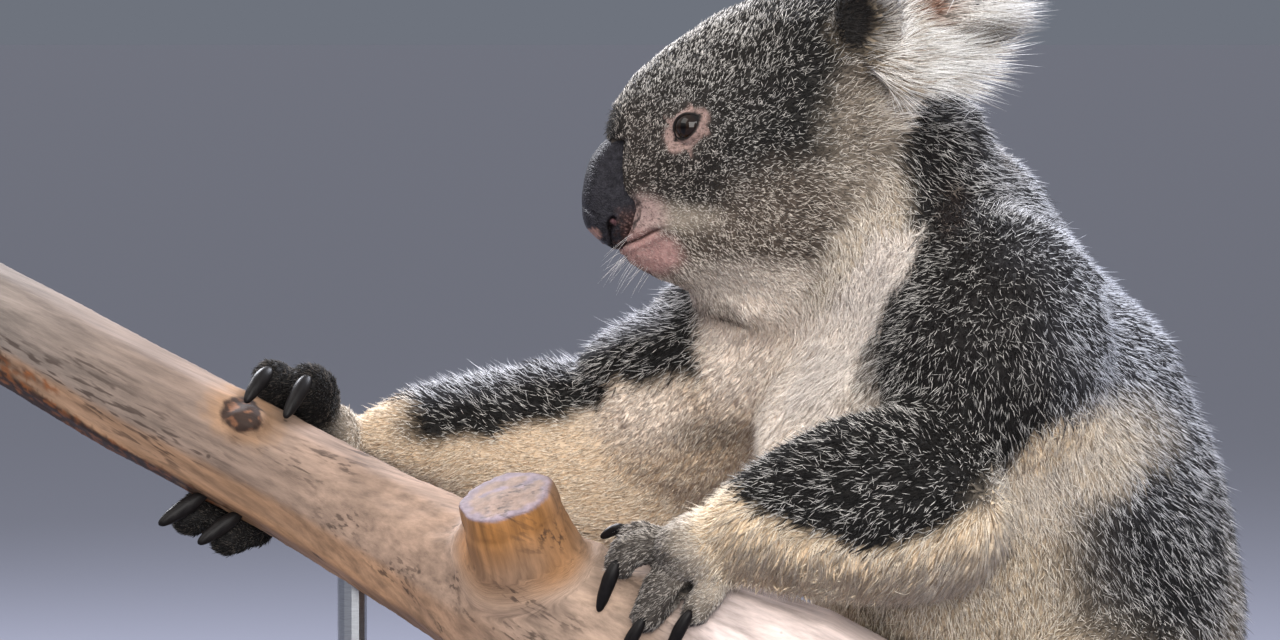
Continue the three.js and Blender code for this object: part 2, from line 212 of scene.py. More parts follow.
def averager(mesh):
    """A function that gives each vertex the mean of its neighbours' values."""
    ends = np.empty(len(mesh.edges) * 2, np.int32)
    mesh.edges.foreach_get("vertices", ends)
    a, b = ends.reshape(-1, 2).T
    count = len(mesh.vertices)
    degree = np.maximum(np.bincount(ends, minlength=count), 1)[:, None]

    def mean(values):
        sums = [
            np.bincount(a, c[b], count) + np.bincount(b, c[a], count) for c in values.T
        ]
        return np.stack(sums, 1) / degree

    return mean


# %% Smoothing
def soften(mesh, rounds, share=1.0):
    """Smooths a mesh without shrinking it: each pull in is followed by a push out."""
    co, mean = read(mesh), averager(mesh)
    for _ in range(rounds):
        co += 0.5 * share * (mean(co) - co)
        co -= 0.52 * share * (mean(co) - co)
    write(mesh, co)


def spread(mesh, values, rounds):
    """Blurs values over the surface."""
    mean = averager(mesh)
    for _ in range(rounds):
        values = 0.3 * values + 0.7 * mean(values)
    return values


# %% Faces, colours and shading
def triangles(mesh):
    mesh.calc_loop_triangles()
    corners = np.empty(len(mesh.loop_triangles) * 3, np.int32)
    mesh.loop_triangles.foreach_get("vertices", corners)
    return corners.reshape(-1, 3)


def give_colours(mesh, name, colours):
    layer = mesh.color_attributes.new(name, "FLOAT_COLOR", "POINT")
    four = np.ones((len(colours), 4), np.float32)
    four[:, :3] = colours
    layer.data.foreach_set("color", four.ravel())


def smooth_shaded(mesh):
    mesh.polygons.foreach_set("use_smooth", np.ones(len(mesh.polygons), bool))
    mesh.update()


# %% [markdown]
# ## The camera
# Animals in trees are seen from far off through a long lens, which keeps a profile free of
# perspective. A near camera would swell the hand and shrink the ear. So the camera stands three
# metres off the animal's left side, looks slightly down, and its lens is worked out from the
# width it has to show.

# %% Camera
scene = bpy.context.scene
AIM = spot(0, -25, -93.4)
DISTANCE, CAMERA_PITCH, VIEW_WIDTH = 3.0, math.radians(3), 0.6144
lens = bpy.data.cameras.new("long_lens")
lens.sensor_width = 36
lens.lens = 36 * DISTANCE / VIEW_WIDTH
camera = bpy.data.objects.new("camera", lens)
scene.collection.objects.link(camera)
back = Vector((math.cos(CAMERA_PITCH), 0, math.sin(CAMERA_PITCH)))
camera.location = Vector(AIM) + back * DISTANCE
camera.rotation_euler = back.to_track_quat("Z", "Y").to_euler()
scene.camera = camera
print("lens", round(lens.lens, 1), "mm")

# %% [markdown]
# ## One skin under the coat
# The solids reach to the tips of the coat. The skin under it is one surface from nose to toes.
# Each solid could be rounded off alone, but that would leave a seam at every joint, so the flesh
# solids are joined, remeshed as one and moved in by the depth of the coat.

# %% Join the flesh
FLESH_KINDS = ("head", "lower", "ear", "neck", "chest", "belly", "upper", "forearm")
FLESH_KINDS += ("hand", "thigh", "shank", "foot")
FLESH = sorted(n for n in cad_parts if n.split("_")[0] in FLESH_KINDS)
EAR_ROOT = {"ear_left": spot(19, 67, 38), "ear_right": spot(-19, 67, 38)}
EAR_SKIN = 0.66  # the ear's skin is this much of the ear with its fringe


def shrink_ear(node):
    if node not in EAR_ROOT:
        return None
    root = Vector(EAR_ROOT[node])
    return Matrix.Translation(root) @ Matrix.Scale(EAR_SKIN, 4) @ Matrix.Translation(-root)


SOLIDS = FLESH + ["eye_left", "eye_right", "nose"]  # these three fill their sockets
whole = merged_copy(SOLIDS, swell=0.35 * MM, place=shrink_ear)
flesh_tree = BVHTree.FromBMesh(whole)
whole.faces.ensure_lookup_table()
flesh_of_face = [f.material_index for f in whole.faces]
skin_mesh = with_modifier(
    as_mesh(whole, "flesh"), "REMESH", mode="VOXEL", voxel_size=2.2 * MM
)
print("joined skin:", len(skin_mesh.polygons), "faces")

# %% Smooth the facets, and refine the face
EYES = {1: np.array(middle("eye_left")), -1: np.array(middle("eye_right"))}


def refine(mesh, centres, radius):
    """Splits every face near the centres in four."""
    shape = bmesh.new()
    shape.from_mesh(mesh)
    reach = radius * MM
    near = [
        f for f in shape.faces if any((f.calc_center_median() - c).length < reach for c in centres)
    ]
    edges = list({e for f in near for e in f.edges})
    bmesh.ops.subdivide_edges(shape, edges=edges, cuts=1, use_grid_fill=True)
    bmesh.ops.triangulate(shape, faces=[f for f in shape.faces if len(f.verts) > 4])
    shape.to_mesh(mesh)
    shape.free()


FINE = ("head", "lower_jaw", "ear_left", "ear_right", "hand_left", "hand_right")
FINE += ("foot_left", "foot_right", "eye_left", "eye_right", "nose")
co = read(skin_mesh)
solid_at = np.array([flesh_of_face[flesh_tree.find_nearest(Vector(p))[2]] for p in co])
is_fine = np.isin(solid_at, [SOLIDS.index(n) for n in FINE]).astype(float)
loose = 1 - spread(skin_mesh, is_fine[:, None], 12)
mean = averager(skin_mesh)


def relaxed(points, rounds, share):
    """Points drawn towards their neighbours, which takes the creases out."""
    for _ in range(rounds):
        points = points + 0.6 * share * (mean(points) - points)
    return points


co = relaxed(co, 45, loose)  # the trunk and limbs run into each other without a crease
print("fine skin:", round(float(1 - loose.mean()), 2), "of the whole")

# %% Shoulders, throat and nape
# The shoulders and the throat lie in loose skin, so they are smoothed much longer.
SHOULDERS = [((72, 122, -66), (56, 58, 74)), ((-46, 62, -112), (50, 50, 46))]
THROAT = [((0, 34, -90), (85, 60, 28))]
# That smoothing fills the nape, which goes back in; the crease under the jaw comes out. The
# right shoulder slopes evenly down to the arm.
NUDGES = [((20, 192, -56), (90, 62, 62), 11), ((0, 19, -87), (70, 34, 12), -5)]
NUDGES += [((-58, -20, -84), (44, 30, 26), 8), ((-62, -62, -113), (44, 44, 26), -9)]
JAW_CREASE = ((0, 18, -88), (75, 40, 20))


def around(place, full, none):
    """1 in the middle of an ellipsoid, and 0 from the share of its size called none."""
    centre, size = place
    off = np.linalg.norm((co - spot(*centre)) / (np.array(size) * MM), axis=1)
    return (1 - ease(full, none, off))[:, None]


at_shoulder = np.max([around(place, 0.6, 1.2) for place in SHOULDERS + THROAT], axis=0)
co = relaxed(co, 220, at_shoulder)
co = relaxed(co, 260, around(JAW_CREASE, 0.5, 1.1))
write(skin_mesh, co)
for centre, size, depth in NUDGES:
    co -= read(skin_mesh, "normal") * (depth * MM * around((centre, size), 0, 1))
write(skin_mesh, co)
print("loose skin:", round(float(at_shoulder.mean()), 2), "of the whole")

# %% Finer faces for the face
soften(skin_mesh, 14)
refine(skin_mesh, [Vector(spot(0, -18, -30))], 56)
soften(skin_mesh, 8)
refine(skin_mesh, [Vector(EYES[side]) for side in EYES], 17)
LIPS = [(10, -33, -58), (22, -20, -51), (27, -12, -48)]
lip_places = [Vector(spot(x * side, y, z)) for side in (1, -1) for x, y, z in LIPS]
refine(skin_mesh, lip_places, 13)
soften(skin_mesh, 3)
print("refined skin:", len(triangles(skin_mesh)), "triangles")

# %% [markdown]
# ## Regions of the body
# On the animal the hair's length, curl, lie and colour change from place to place: short on the
# face and hands, long on the ears. They could be combed and painted by hand in the editor. A
# table is easier to read and to change: each point of the skin belongs to the solid nearest to
# it, the table gives that solid's hair, and blurring over the skin joins them without a step.

# %% The region table
# Solid: hair in mm, the way the hair lies (or the place that it radiates from), curl, tone.
REGIONS = {
    "head": (10, None, 0.55, "crown"),
    "lower_jaw": (4, None, 0.35, "cheek"),
    "ear_left": (20, None, 0.14, "ear"),
    "ear_right": (20, None, 0.14, "ear"),
    "neck": (13, (0, 0.45, -0.9), 0.5, "nape"),
    "chest": (13, (0.05, 0.1, -1), 0.4, "chest"),
    "belly": (13, (0.05, 0.15, -1), 0.45, "tan"),
    "upper_arm_left": (11, (0.3, 0.1, -0.95), 0.6, "slate"),
    "upper_arm_right": (11, (-0.4, -0.55, -0.7), 0.55, "slate"),
    "forearm_left": (10.5, (0, -0.95, -0.4), 0.6, "slate"),
    "forearm_right": (10.5, (0.3, -0.93, 0.0), 0.5, "slate"),
    "hand_left": (4, (0, -0.95, -0.4), 0.3, "hand"),
    "hand_right": (4, (0.3, -0.95, 0.1), 0.3, "hand"),
    "thigh_left": (12, (0.4, -0.6, -0.5), 0.5, "grizzle"),
    "thigh_right": (12, (-0.2, -0.6, -0.5), 0.5, "grizzle"),
    "shank_left": (9, (0, 0.3, -0.95), 0.4, "grizzle"),
    "shank_right": (9, (0.3, 0.4, -0.8), 0.4, "grizzle"),
    "foot_left": (4, (0.3, -0.85, 0.4), 0.3, "finger"),
    "foot_right": (4, (0.3, -0.85, 0.4), 0.3, "finger"),
}
MUZZLE = spot(0, -62, -34)
RADIATES = {
    "head": MUZZLE,
    "lower_jaw": MUZZLE,
    "ear_left": EAR_ROOT["ear_left"],
    "ear_right": EAR_ROOT["ear_right"],
}
print("regions:", len(REGIONS), "of", len(FLESH), "solids")

# %% Read the regions on the skin
co = read(skin_mesh)
region = np.array([flesh_of_face[flesh_tree.find_nearest(Vector(p))[2]] for p in co])
on_nose = spread(skin_mesh, (region == SOLIDS.index("nose")).astype(float)[:, None], 2)[:, 0]
region[region >= len(FLESH)] = FLESH.index("head")
length = np.zeros(len(co))
curl = np.zeros(len(co))
lie = np.zeros((len(co), 3))
tone = np.zeros((len(co), 10))
for number, node in enumerate(FLESH):
    here = region == number
    hair, way, curliness, name = REGIONS[node]
    length[here], curl[here] = hair, curliness
    lie[here] = unit(co[here] - RADIATES[node]) if way is None else unit(np.array(way))
    tone[here] = TONE[name]
on_head = region == FLESH.index("head")
from_brow = (co[:, 1] - BROW[1]) / MM
head_hair = np.interp(from_brow, [-40, -20, 0, 25, 50, 90], [1.8, 2.6, 3.3, 4.6, 7, 11])
length = np.where(on_head, head_hair, length)


def of_nodes(*names, rounds=4):
    picked = np.isin(region, [FLESH.index(n) for n in names]).astype(float)
    return spread(skin_mesh, picked[:, None], rounds)[:, 0]


length = spread(skin_mesh, length[:, None], 12)[:, 0]
curl = spread(skin_mesh, curl[:, None], 12)[:, 0]
lie = spread(skin_mesh, lie, 20)
tone = spread(skin_mesh, tone, 6)
print("hair from", length.min().round(1), "to", length.max().round(1), "mm")

# %% [markdown]
# ## Move the skin in, and shape the face
# The coat stands off the skin by a third of the hair's length. Then the skin is closed
# round each eye as lids, with a crease behind them, pressed in along the mouth, and drawn in
# where the nose leather covers it. A sculptor would do this with brushes. Here each shape is
# a distance from a line or an edge, so that it lies where it was measured and both sides match.

# %% Inset
DEPTH_SHARE = 0.34
normal = read(skin_mesh, "normal")
is_ear = of_nodes("ear_left", "ear_right")
is_hand = of_nodes("hand_left", "hand_right", "foot_left", "foot_right")
depth = length * DEPTH_SHARE * (1 - is_ear) * (1 - is_hand) + 0.8 * is_ear - 0.5 * is_hand
depth = spread(skin_mesh, depth[:, None], 6)[:, 0] + 1.5 * on_nose
write(skin_mesh, co - normal * (depth * MM)[:, None])
soften(skin_mesh, 4)
print("skin moved in by up to", depth.max().round(1), "mm")

# %% The opening between the lids
GAZE = {side: unit(np.array([0.87 * side, -0.49, 0.06])) for side in EYES}
EYE_RADIUS = 9.0
OPEN_LONG, OPEN_HIGH, EYE_TILT = 7.6, 4.9, math.radians(38)
ROUNDNESS = 2.5  # 2 gives the opening pointed ends, more gives round ones


def eye_axes(side):
    """The opening's long axis, its short one, and the way the eye looks."""
    gaze = GAZE[side]
    rear = unit(np.array([0, 1, 0]) - gaze[1] * gaze)
    up = np.cross(gaze, rear) * side
    return (
        rear * math.cos(EYE_TILT) + up * math.sin(EYE_TILT),
        -rear * math.sin(EYE_TILT) + up * math.cos(EYE_TILT),
        gaze,
    )


def eye_places(points, side):
    """Millimetres along the opening, across it and out of it."""
    local = (points - EYES[side]) / MM
    return [local @ axis for axis in eye_axes(side)]


def lid_slope(a):
    return ROUNDNESS * OPEN_HIGH / OPEN_LONG * (np.abs(a) / OPEN_LONG) ** (ROUNDNESS - 1)


def lid_distance(a, b):
    """Millimetres outside the almond of the opening, below 0 inside it."""
    edge = OPEN_HIGH * (1 - (np.abs(a) / OPEN_LONG) ** ROUNDNESS)
    slope = lid_slope(a)
    inside = (np.abs(b) - edge) / np.sqrt(1 + slope**2)
    return np.where(np.abs(a) < OPEN_LONG, inside, np.hypot(np.abs(a) - OPEN_LONG, b))


print("opening:", 2 * OPEN_LONG, "by", 2 * OPEN_HIGH, "mm")

# %% Lids
# Points close to the opening's edge are drawn onto it, so that the edge is clean. Then the lid's
# height over the ball is read from a table: thin at the edge, a roll, and a shallow crease.
FROM_EDGE, OVER_BALL = [-1.2, -0.3, 0.4, 1.4, 3.2, 5], [-2.5, -0.5, 0.9, 1.4, 0.9, 1.2]
co = read(skin_mesh)
for side in EYES:
    a, b, h = eye_places(co, side)
    near = (np.hypot(a, b) < 15) & (h > -2) & (co[:, 0] * side > BROW[0] * side)
    f = lid_distance(a, b)
    snap = near & (np.abs(f) < 0.4) & (np.abs(a) < OPEN_LONG - 0.3)
    slope = np.sign(a) * lid_slope(a)
    size = np.sqrt(1 + slope**2)
    b = np.where(snap, b - np.sign(b) * f / size, b)
    a = np.where(snap, a - slope * f / size**2, a)
    f = np.where(snap, 0, f)
    flat = np.minimum(np.hypot(a, b), EYE_RADIUS - 0.3)
    ball = np.sqrt(EYE_RADIUS**2 - flat**2)
    lid = ball + np.interp(f, FROM_EDGE, OVER_BALL)
    blend = ease(2.5, 7.0, f)
    target = lid * (1 - blend) + h * blend
    h = np.where(near, np.where(f < 2.5, target, np.maximum(target, h * 0.6 + target * 0.4)), h)
    long_axis, high_axis, gaze = eye_axes(side)
    moved = EYES[side] + MM * (
        a[:, None] * long_axis + b[:, None] * high_axis + h[:, None] * gaze
    )
    co = np.where(near[:, None], moved, co)
    print("lid points:", int(near.sum()), "of them on the edge:", int(snap.sum()))
write(skin_mesh, co)

# %% Mouth, and the skin beside the nose
# The line between the lips as seen from the side, from under the nose back to its corner.
MOUTH = [(0, -42, -58.6), (0, -35, -57.6), (0, -25.5, -54), (0, -19, -50.2), (0, -13.5, -48.2)]


def line_distance(points, line, both=True):
    """Millimetres from each point to a line through places, by default on both sides."""
    local = (points - BROW) / MM
    if both:
        local = np.stack([np.abs(local[:, 0]), local[:, 1], local[:, 2]], 1)
    best = np.full(len(points), 1e9)
    for start, end in zip(line, line[1:]):
        start, along = np.array(start, float), np.subtract(end, start)
        t = np.clip((local - start) @ along / (along @ along), 0, 1)
        best = np.minimum(best, np.linalg.norm(local - start - t[:, None] * along, axis=1))
    return best


# Of the nose leather, from the lip up: z and the visible back edge's y, and z and half width.
NOSE_BACK = [(-59, -36), (-57, -36), (-53, -32), (-47, -29.3), (-40, -27), (-36, -27.8)]
NOSE_BACK += [(-32, -31.5), (-28, -33.3), (-19, -34), (-12, -33.3), (-6, -32.4), (-3, -32)]
NOSE_WIDE = [(-60, 8), (-56, 13.5), (-46, 18), (-38, 18)]
NOSE_WIDE += [(-28, 16.5), (-16, 14), (-8, 11.5), (-4, 9.5)]


def along_z(table, z):
    """Reads a table of (z, value) rows at each z."""
    rows = np.array(table, float)
    return np.interp(z, rows[:, 0], rows[:, 1])


normal = read(skin_mesh, "normal")
chin_round = np.linalg.norm((co - spot(0, -30, -61)) / (np.array([15, 8, 8]) * MM), axis=1)
co += np.exp(-(chin_round**2))[:, None] * np.array([0, -3.2, -0.3]) * MM
in_profile = np.where([True, False, False], BROW, co)
from_mouth = line_distance(in_profile, MOUTH)
press = 1.6 * np.exp(-((from_mouth / 1.2) ** 2)) - 0.8 * np.exp(-(((from_mouth - 3) / 1.6) ** 2))
fade = ease(-11, -19, (co - BROW)[:, 1] / MM)  # the line runs out towards its corner
press *= fade
co -= normal * (press * MM)[:, None]
local = (co - BROW) / MM
x, y, z = local.T
behind = y - along_z(NOSE_BACK, z)
beside = (z > -59) & (z < -6) & (behind < 4)
room = along_z(NOSE_WIDE, z) - 1.2
pulled = np.sign(x) * np.minimum(np.abs(x), room)
pull = np.where(beside, ease(3.5, -0.5, behind), 0)
co[:, 0] = BROW[0] + (x * (1 - pull) + pulled * pull) * MM
write(skin_mesh, co)
normal = read(skin_mesh, "normal")
print("mouth points:", int((from_mouth < 1.5).sum()))

# %% Fingers
# The roots of the fingers stay together in the voxels, so the clefts between them are pressed in.
CLEFTS = [
    [(112, -12, -190), (112, -19, -197), (110, -27, -203)],
    [(122, 4, -201), (122, 0, -207), (121, -8, -217)],
]
cleft = np.min([line_distance(co, line, both=False) for line in CLEFTS], 0)
on_hand = of_nodes("hand_left", rounds=2)
co -= normal * (3.0 * MM * on_hand * np.exp(-((cleft / 2.2) ** 2)))[:, None]
write(skin_mesh, co)
normal = read(skin_mesh, "normal")
print("cleft points:", int(((cleft < 4) & (on_hand > 0.5)).sum()))

# %% [markdown]
# ## Markings
# A koala is grey above and pale below, with a white chest, dark sleeves and cream patches on
# its side. These marks could be painted on an image, but that needs an unwrapped skin and shows
# seams. Here they are soft patches over the table's tones, placed in millimetres. Skin and coat
# read the same ones, so the skin never shows through in a wrong colour.
# A few patches are painted light and shade: silver on tops where the rim light falls, and
# near-black tones where shade falls.

# %% Patches
local = (co - BROW) / MM
wobble = np.array([noise.noise(Vector(p * 55)) for p in co]) * 6
fine_wobble = np.array([noise.noise(Vector(p * 160)) for p in co]) * 3


def ball_of(centre, size, soft=0.25, both=False):
    """1 in the middle of an ellipsoid and 0 outside it, with an uneven soft edge."""
    x = np.abs(local[:, 0]) if both else local[:, 0]
    place = np.stack([x, local[:, 1], local[:, 2]], 1) - np.array(centre, float)
    r = np.linalg.norm(place / np.array(size, float), axis=1)
    r += (wobble + fine_wobble) / np.mean(size) * 0.5
    return 1 - ease(1 - soft, 1 + soft, r)


def paint(mask, name, hair=None, way=None, curly=None):
    """Lays a tone over part of the skin, and may change the hair there too."""
    global tone, length, lie, curl
    m = np.clip(mask, 0, 1)
    tone = tone * (1 - m[:, None]) + TONE[name] * m[:, None]
    if hair is not None:
        length = length * (1 - m) + hair * m
    if curly is not None:
        curl = curl * (1 - m) + curly * m
    if way is not None:
        lie = unit(lie) * (1 - m[:, None]) + unit(np.array(way, float)) * m[:, None]


head = of_nodes("head", "lower_jaw")
paint(head * ball_of((0, 0, 10), (60, 60, 60), 0.35), "brow")
paint(head * ball_of((0, -22, -22), (60, 50, 34), 0.3), "muzzle")
paint(head * ball_of((54, 58, -52), (34, 46, 36), 0.4, both=True), "cheek")
paint(head * ball_of((44, 12, -56), (34, 24, 15), 0.5, both=True) * 0.85, "cheek")
paint(head * ball_of((36, 30, -78), (36, 40, 11), 0.85, both=True) * 0.8, "chest", hair=9)
paint(head * ball_of((60, 84, 8), (22, 16, 30), 0.4, both=True) * 0.7, "cheek")
paint(head * ball_of((58, 80, -12), (24, 20, 36), 0.6, both=True) * 0.38, "hand", hair=9)
paint(head * ball_of((64, 94, 18), (22, 12, 20), 0.4, both=True), "cream", hair=16)
paint(head * ball_of((30, -5, -43), (14, 20, 6), 0.8, both=True) * 0.55, "cream")
paint(head * ball_of((24, -24, -42), (16, 12, 9), 0.5, both=True), "lip", hair=1.8)
paint(head * ball_of((14, -22, -60), (28, 20, 11), 0.3, both=True), "chin", hair=1.8)
speckles = np.array([noise.noise(Vector(p * 420)) for p in co])
by_nose = ball_of((20, -30, -41), (12, 7, 9), 0.5, both=True)
paint(head * by_nose * ease(0.0, 0.2, speckles), "pad")
# The notch above the nose is painted near black, as painted shade.
paint(head * ball_of((0, -37, 1), (16, 9, 8), 0.4), "painted_shade", hair=6.5, way=(0, -0.9, -0.35))
print("face painted")

# %% Neck, chest and belly
trunk = of_nodes("chest", "belly")
neck = of_nodes("neck")
DORSAL = unit(np.array([-0.38, 0.8, 0.42]))
facing = normal @ DORSAL + 0.03 * wobble
paint(neck * (1 - ease(-0.35, 0.15, facing)) * ease(106, 92, local[:, 1]), "cream")
JAW_LINE = [(-6, -78), (23, -74), (47, -61), (66, -46), (90, -32), (104, -28)]
over_jaw_line = local[:, 2] - np.interp(local[:, 1], *np.array(JAW_LINE, float).T) + wobble
paint(neck * ease(-6, 8, over_jaw_line) * ball_of((62, 62, -40), (44, 42, 40), 0.4) * 0.45, "cheek")
paint(trunk * ease(-0.25, 0.05, facing), "slate", hair=12)
# The white of the chest ends at this line on the left side, and the dark shoulder begins.
SHOULDER_LINE = [(-125, 72), (-117, 75), (-99, 82), (-80, 92), (-63, 101), (-50, 110), (-36, 110)]
SHOULDER_LINE += [(-20, 101), (0, 96), (15, 94)]
behind_line = local[:, 1] - along_z(SHOULDER_LINE, local[:, 2]) + 0.6 * wobble
left_side = of_nodes("neck", "chest", "upper_arm_left") * ease(12, 34, local[:, 0])
upper_part = ease(-142, -128, local[:, 2])
dark = ball_of((60, 140, -50), (95, 84, 112), 0.3)
paint(left_side * upper_part * ease(-3, 3, behind_line) * dark, "nape")
band = ease(-30, -22, behind_line) * ease(2, -2, behind_line) * ease(-42, -50, local[:, 2])
paint(left_side * upper_part * band, "white", hair=16)
under_jaw = of_nodes("head", "neck", "chest") * ball_of((0, 26, -93), (70, 50, 12), 0.5)
paint(under_jaw, "chest", hair=12)
flank = of_nodes("chest", "belly", "thigh_left", "upper_arm_left", "forearm_left")
low_side = of_nodes("belly", "thigh_left", "shank_left", "chest") * ease(20, 50, local[:, 0])
paint(low_side * ease(-165, -190, local[:, 2] + wobble), "belly")
paint(flank * ball_of((95, 208, -196), (70, 38, 60), 0.5), "grizzle")
paint(flank * ball_of((95, 244, -182), (70, 56, 74), 0.4), "slate")
# The back and the far side, where they face up and back, are painted silver: partly the coat's own
# paler grey, partly a painted rim highlight.
whole_back = of_nodes("chest", "belly", "neck", "upper_arm_left")
to_back = ease(112, 188, local[:, 1] + 0.2 * (local[:, 2] + 40) + 1.5 * wobble)
to_back = np.maximum(to_back, ease(30, -20, local[:, 0])) * ease(-0.3, 0.05, facing)
paint(whole_back * to_back * (0.3 + 0.7 * ease(-215, -110, local[:, 2] + 2 * wobble)), "silver")
paint(flank * ball_of((95, 186, -150), (70, 22, 20), 0.5), "cream", hair=15)
paint(flank * ball_of((95, 152, -170), (70, 24, 16), 0.5), "cream", hair=15)
paint(flank * ball_of((100, 206, -138), (44, 28, 16), 0.7) * 0.7, "cream", hair=16)
paint(left_side * ball_of((84, 121, -37), (60, 8, 15), 0.4), "rust")
print("trunk painted")

# %% Arms
# The dark sleeve of each arm ends below at a line of (y, z) places.
SLEEVE_LEFT = [(5, -160), (19, -167), (49, -183), (84, -192)]
SLEEVE_LEFT += [(117, -184), (139, -165), (156, -143), (173, -131)]
SLEEVE_RIGHT = [(-150, -158), (-121, -157), (-91, -151), (-44, -144), (-35, -125), (9, -124)]


def above(line, soft=5):
    y, z = np.array(line, float).T
    return ease(-soft, soft, local[:, 2] - np.interp(local[:, 1], y, z) + wobble)


left_arm = of_nodes("forearm_left", "upper_arm_left")
left_sleeve = above(SLEEVE_LEFT) * ease(-6, 14, local[:, 1] + wobble)
left_sleeve *= ease(-0.85, -0.4, normal[:, 0])
hanging = ease(-5, 30, local[:, 1]) * ease(-165, -180, local[:, 2])
paint(left_arm * (1 - left_sleeve), "fringe")
paint(left_arm * (1 - left_sleeve) * hanging, "fringe", hair=21, way=(0.1, -0.35, -0.95), curly=0.3)
right_arm = of_nodes("forearm_right", "upper_arm_right")
outer = ease(0.1, 0.5, -normal[:, 0] + 0.3 * normal[:, 2])
right_sleeve = np.maximum(above(SLEEVE_RIGHT), outer) * ease(-150, -128, local[:, 1] + wobble)
inner_side = ease(-0.25, 0.1, normal[:, 0])
right_sleeve *= 1 - inner_side * ease(3, 17, local[:, 1] + wobble)
# The upward-facing top of the far arm's sleeve is painted silver, as a painted rim highlight.
paint(right_arm * right_sleeve * ease(0.35, 0.8, normal[:, 2]) * 0.8, "silver", hair=15)
paint(right_arm * (1 - right_sleeve), "tan", hair=9, curly=0.3)
white_part = inner_side * ease(1, 15, local[:, 1] + wobble) * ease(-150, -125, local[:, 2])
paint(of_nodes("upper_arm_right") * white_part, "chest", hair=12)
paint(right_arm * ball_of((-40, -22, -138), (70, 26, 20), 0.6) * (1 - right_sleeve) * 0.8, "chest")
paint(right_arm * ball_of((-20, 10, -150), (40, 20, 9), 0.5) * (1 - right_sleeve) * 0.6, "grizzle")
print("arms painted")

# %% Hands, feet, ears and bare rings
for side, name in ((1, "left"), (-1, "right")):
    wrist_span = 62 if side > 0 else 92  # millimetres from the forearm's middle
    from_forearm = np.linalg.norm(co - np.array(middle("forearm_" + name)), axis=1) / MM
    tips = ease(8, 34, from_forearm - wrist_span)
    # The near hand's fingers get their own tone; the far hand's are painted near black, as painted
    # shade.
    paint(of_nodes("hand_" + name) * tips, "finger" if side > 0 else "painted_shade")
    a, b, h = eye_places(co, side)
    f = lid_distance(a, b) + 0.2 * fine_wobble
    front = (h > 0) & (np.hypot(a, b) < 17)
    tear = 3.6 * ease(3, 9, -a) + 1.0 * ease(3, 9, a) + 1.2 * ease(2, -4, b)
    paint((1 - ease(1.8, 4.2, f - tear)) * front, "ring", hair=1.6, curly=0.5)
    paint((1 - ease(0.9, 1.5, lid_distance(a, b))) * front, "black")
    paint((1 - ease(0.8, 1.6, np.hypot(a + 9.3, b + 0.4))) * front, "rust")
    ear = is_ear * ease(-40, 0, side * local[:, 0])
    inner = ease(-0.1, 0.4, normal @ unit(np.array([0.7 * side, -0.7, 0.1])))
    distal = np.linalg.norm(co - EAR_ROOT["ear_left" if side > 0 else "ear_right"], axis=1) / MM
    paint(ear * ease(30, 55, distal), "ear", hair=40)
    paint(ear * ease(46, 64, distal), "ear_edge")
    paint(ear * (1 - inner), "brow", hair=20)
    # The hollow inside the ear is painted near black, as painted shade.
    paint(ear * ball_of((58, 72, 52), (20, 14, 22), 0.3, both=True) * inner, "ear_dark", hair=8)
    paint(ear * ball_of((72, 108, 56), (20, 9, 12), 0.4, both=True) * inner, "ear_skin", hair=12)
    paint(ear * ball_of((70, 124, 42), (30, 16, 5), 0.5, both=True) * 0.8, "ear_dark")
# The line between the lips is painted dark, as painted shade in its crease.
paint((1 - ease(0.2, 1.3, from_mouth)) * fade, "crease")
# The clefts between the fingers are painted black, as painted shade.
paint((1 - ease(0.6, 2.6, cleft)) * on_hand, "black", hair=2)
print("marks painted")

# %% Which skin stays bare
bare = np.zeros(len(co))
for side in EYES:
    a, b, h = eye_places(co, side)
    f = lid_distance(a, b)
    around = (h > 0) & (np.hypot(a, b) < 17)
    bare = np.maximum(bare, around * (1 - ease(1.2, 1.9, f)))
    length = np.where(around, length * (0.45 + 0.55 * ease(4, 12, f)), length)
bare = np.maximum(bare, (1 - ease(0.6, 1.3, from_mouth)) * fade)
bare = np.maximum(bare, np.where(beside, ease(2.0, 0.0, behind), 0))
print("bare points:", int((bare > 0.5).sum()))

# %% The skin's piece
skin_tone = tone[:, 0:3] * 0.5 + tone[:, 3:6] * 0.5
bare_skin = np.maximum(bare, ease(3.0, 2.0, length))[:, None]
skin_tone = skin_tone * (1 - bare_skin) + tone[:, 3:6] * bare_skin
give_colours(skin_mesh, "hide", skin_tone)
MOST_FACES = 190_000
shown = with_modifier(
    skin_mesh.copy(), "DECIMATE", ratio=min(1, MOST_FACES / len(triangles(skin_mesh)))
)
smooth_shaded(shown)
skin = as_object(shown, "skin")
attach(skin, "root")
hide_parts(*FLESH)
print("skin:", len(triangles(shown)), "triangles of", len(triangles(skin_mesh)))

# %% [markdown]
# ## The coat
# A koala's coat is dense, soft and woolly: a dark mat of underwool, and over it finer curly
# hairs with pale tips, which give the grizzled look. Hair curves would be the quickest way, but
# this model has to be solid all through, so every hair is a closed spike. A tuft of underwool
# is bent, with a ridge halfway, and has six triangles; a guard hair has four. An operator makes
# one shape at a time, so the corners of all these spikes are worked out together in arrays.

# %% Where the tufts stand
UNDERWOOL, GUARD = 62_000, 278_000
rng = np.random.default_rng(7)
corners = triangles(skin_mesh)
p0, p1, p2 = (co[corners[:, k]] for k in range(3))
area = np.linalg.norm(np.cross(p1 - p0, p2 - p0), axis=1) / 2


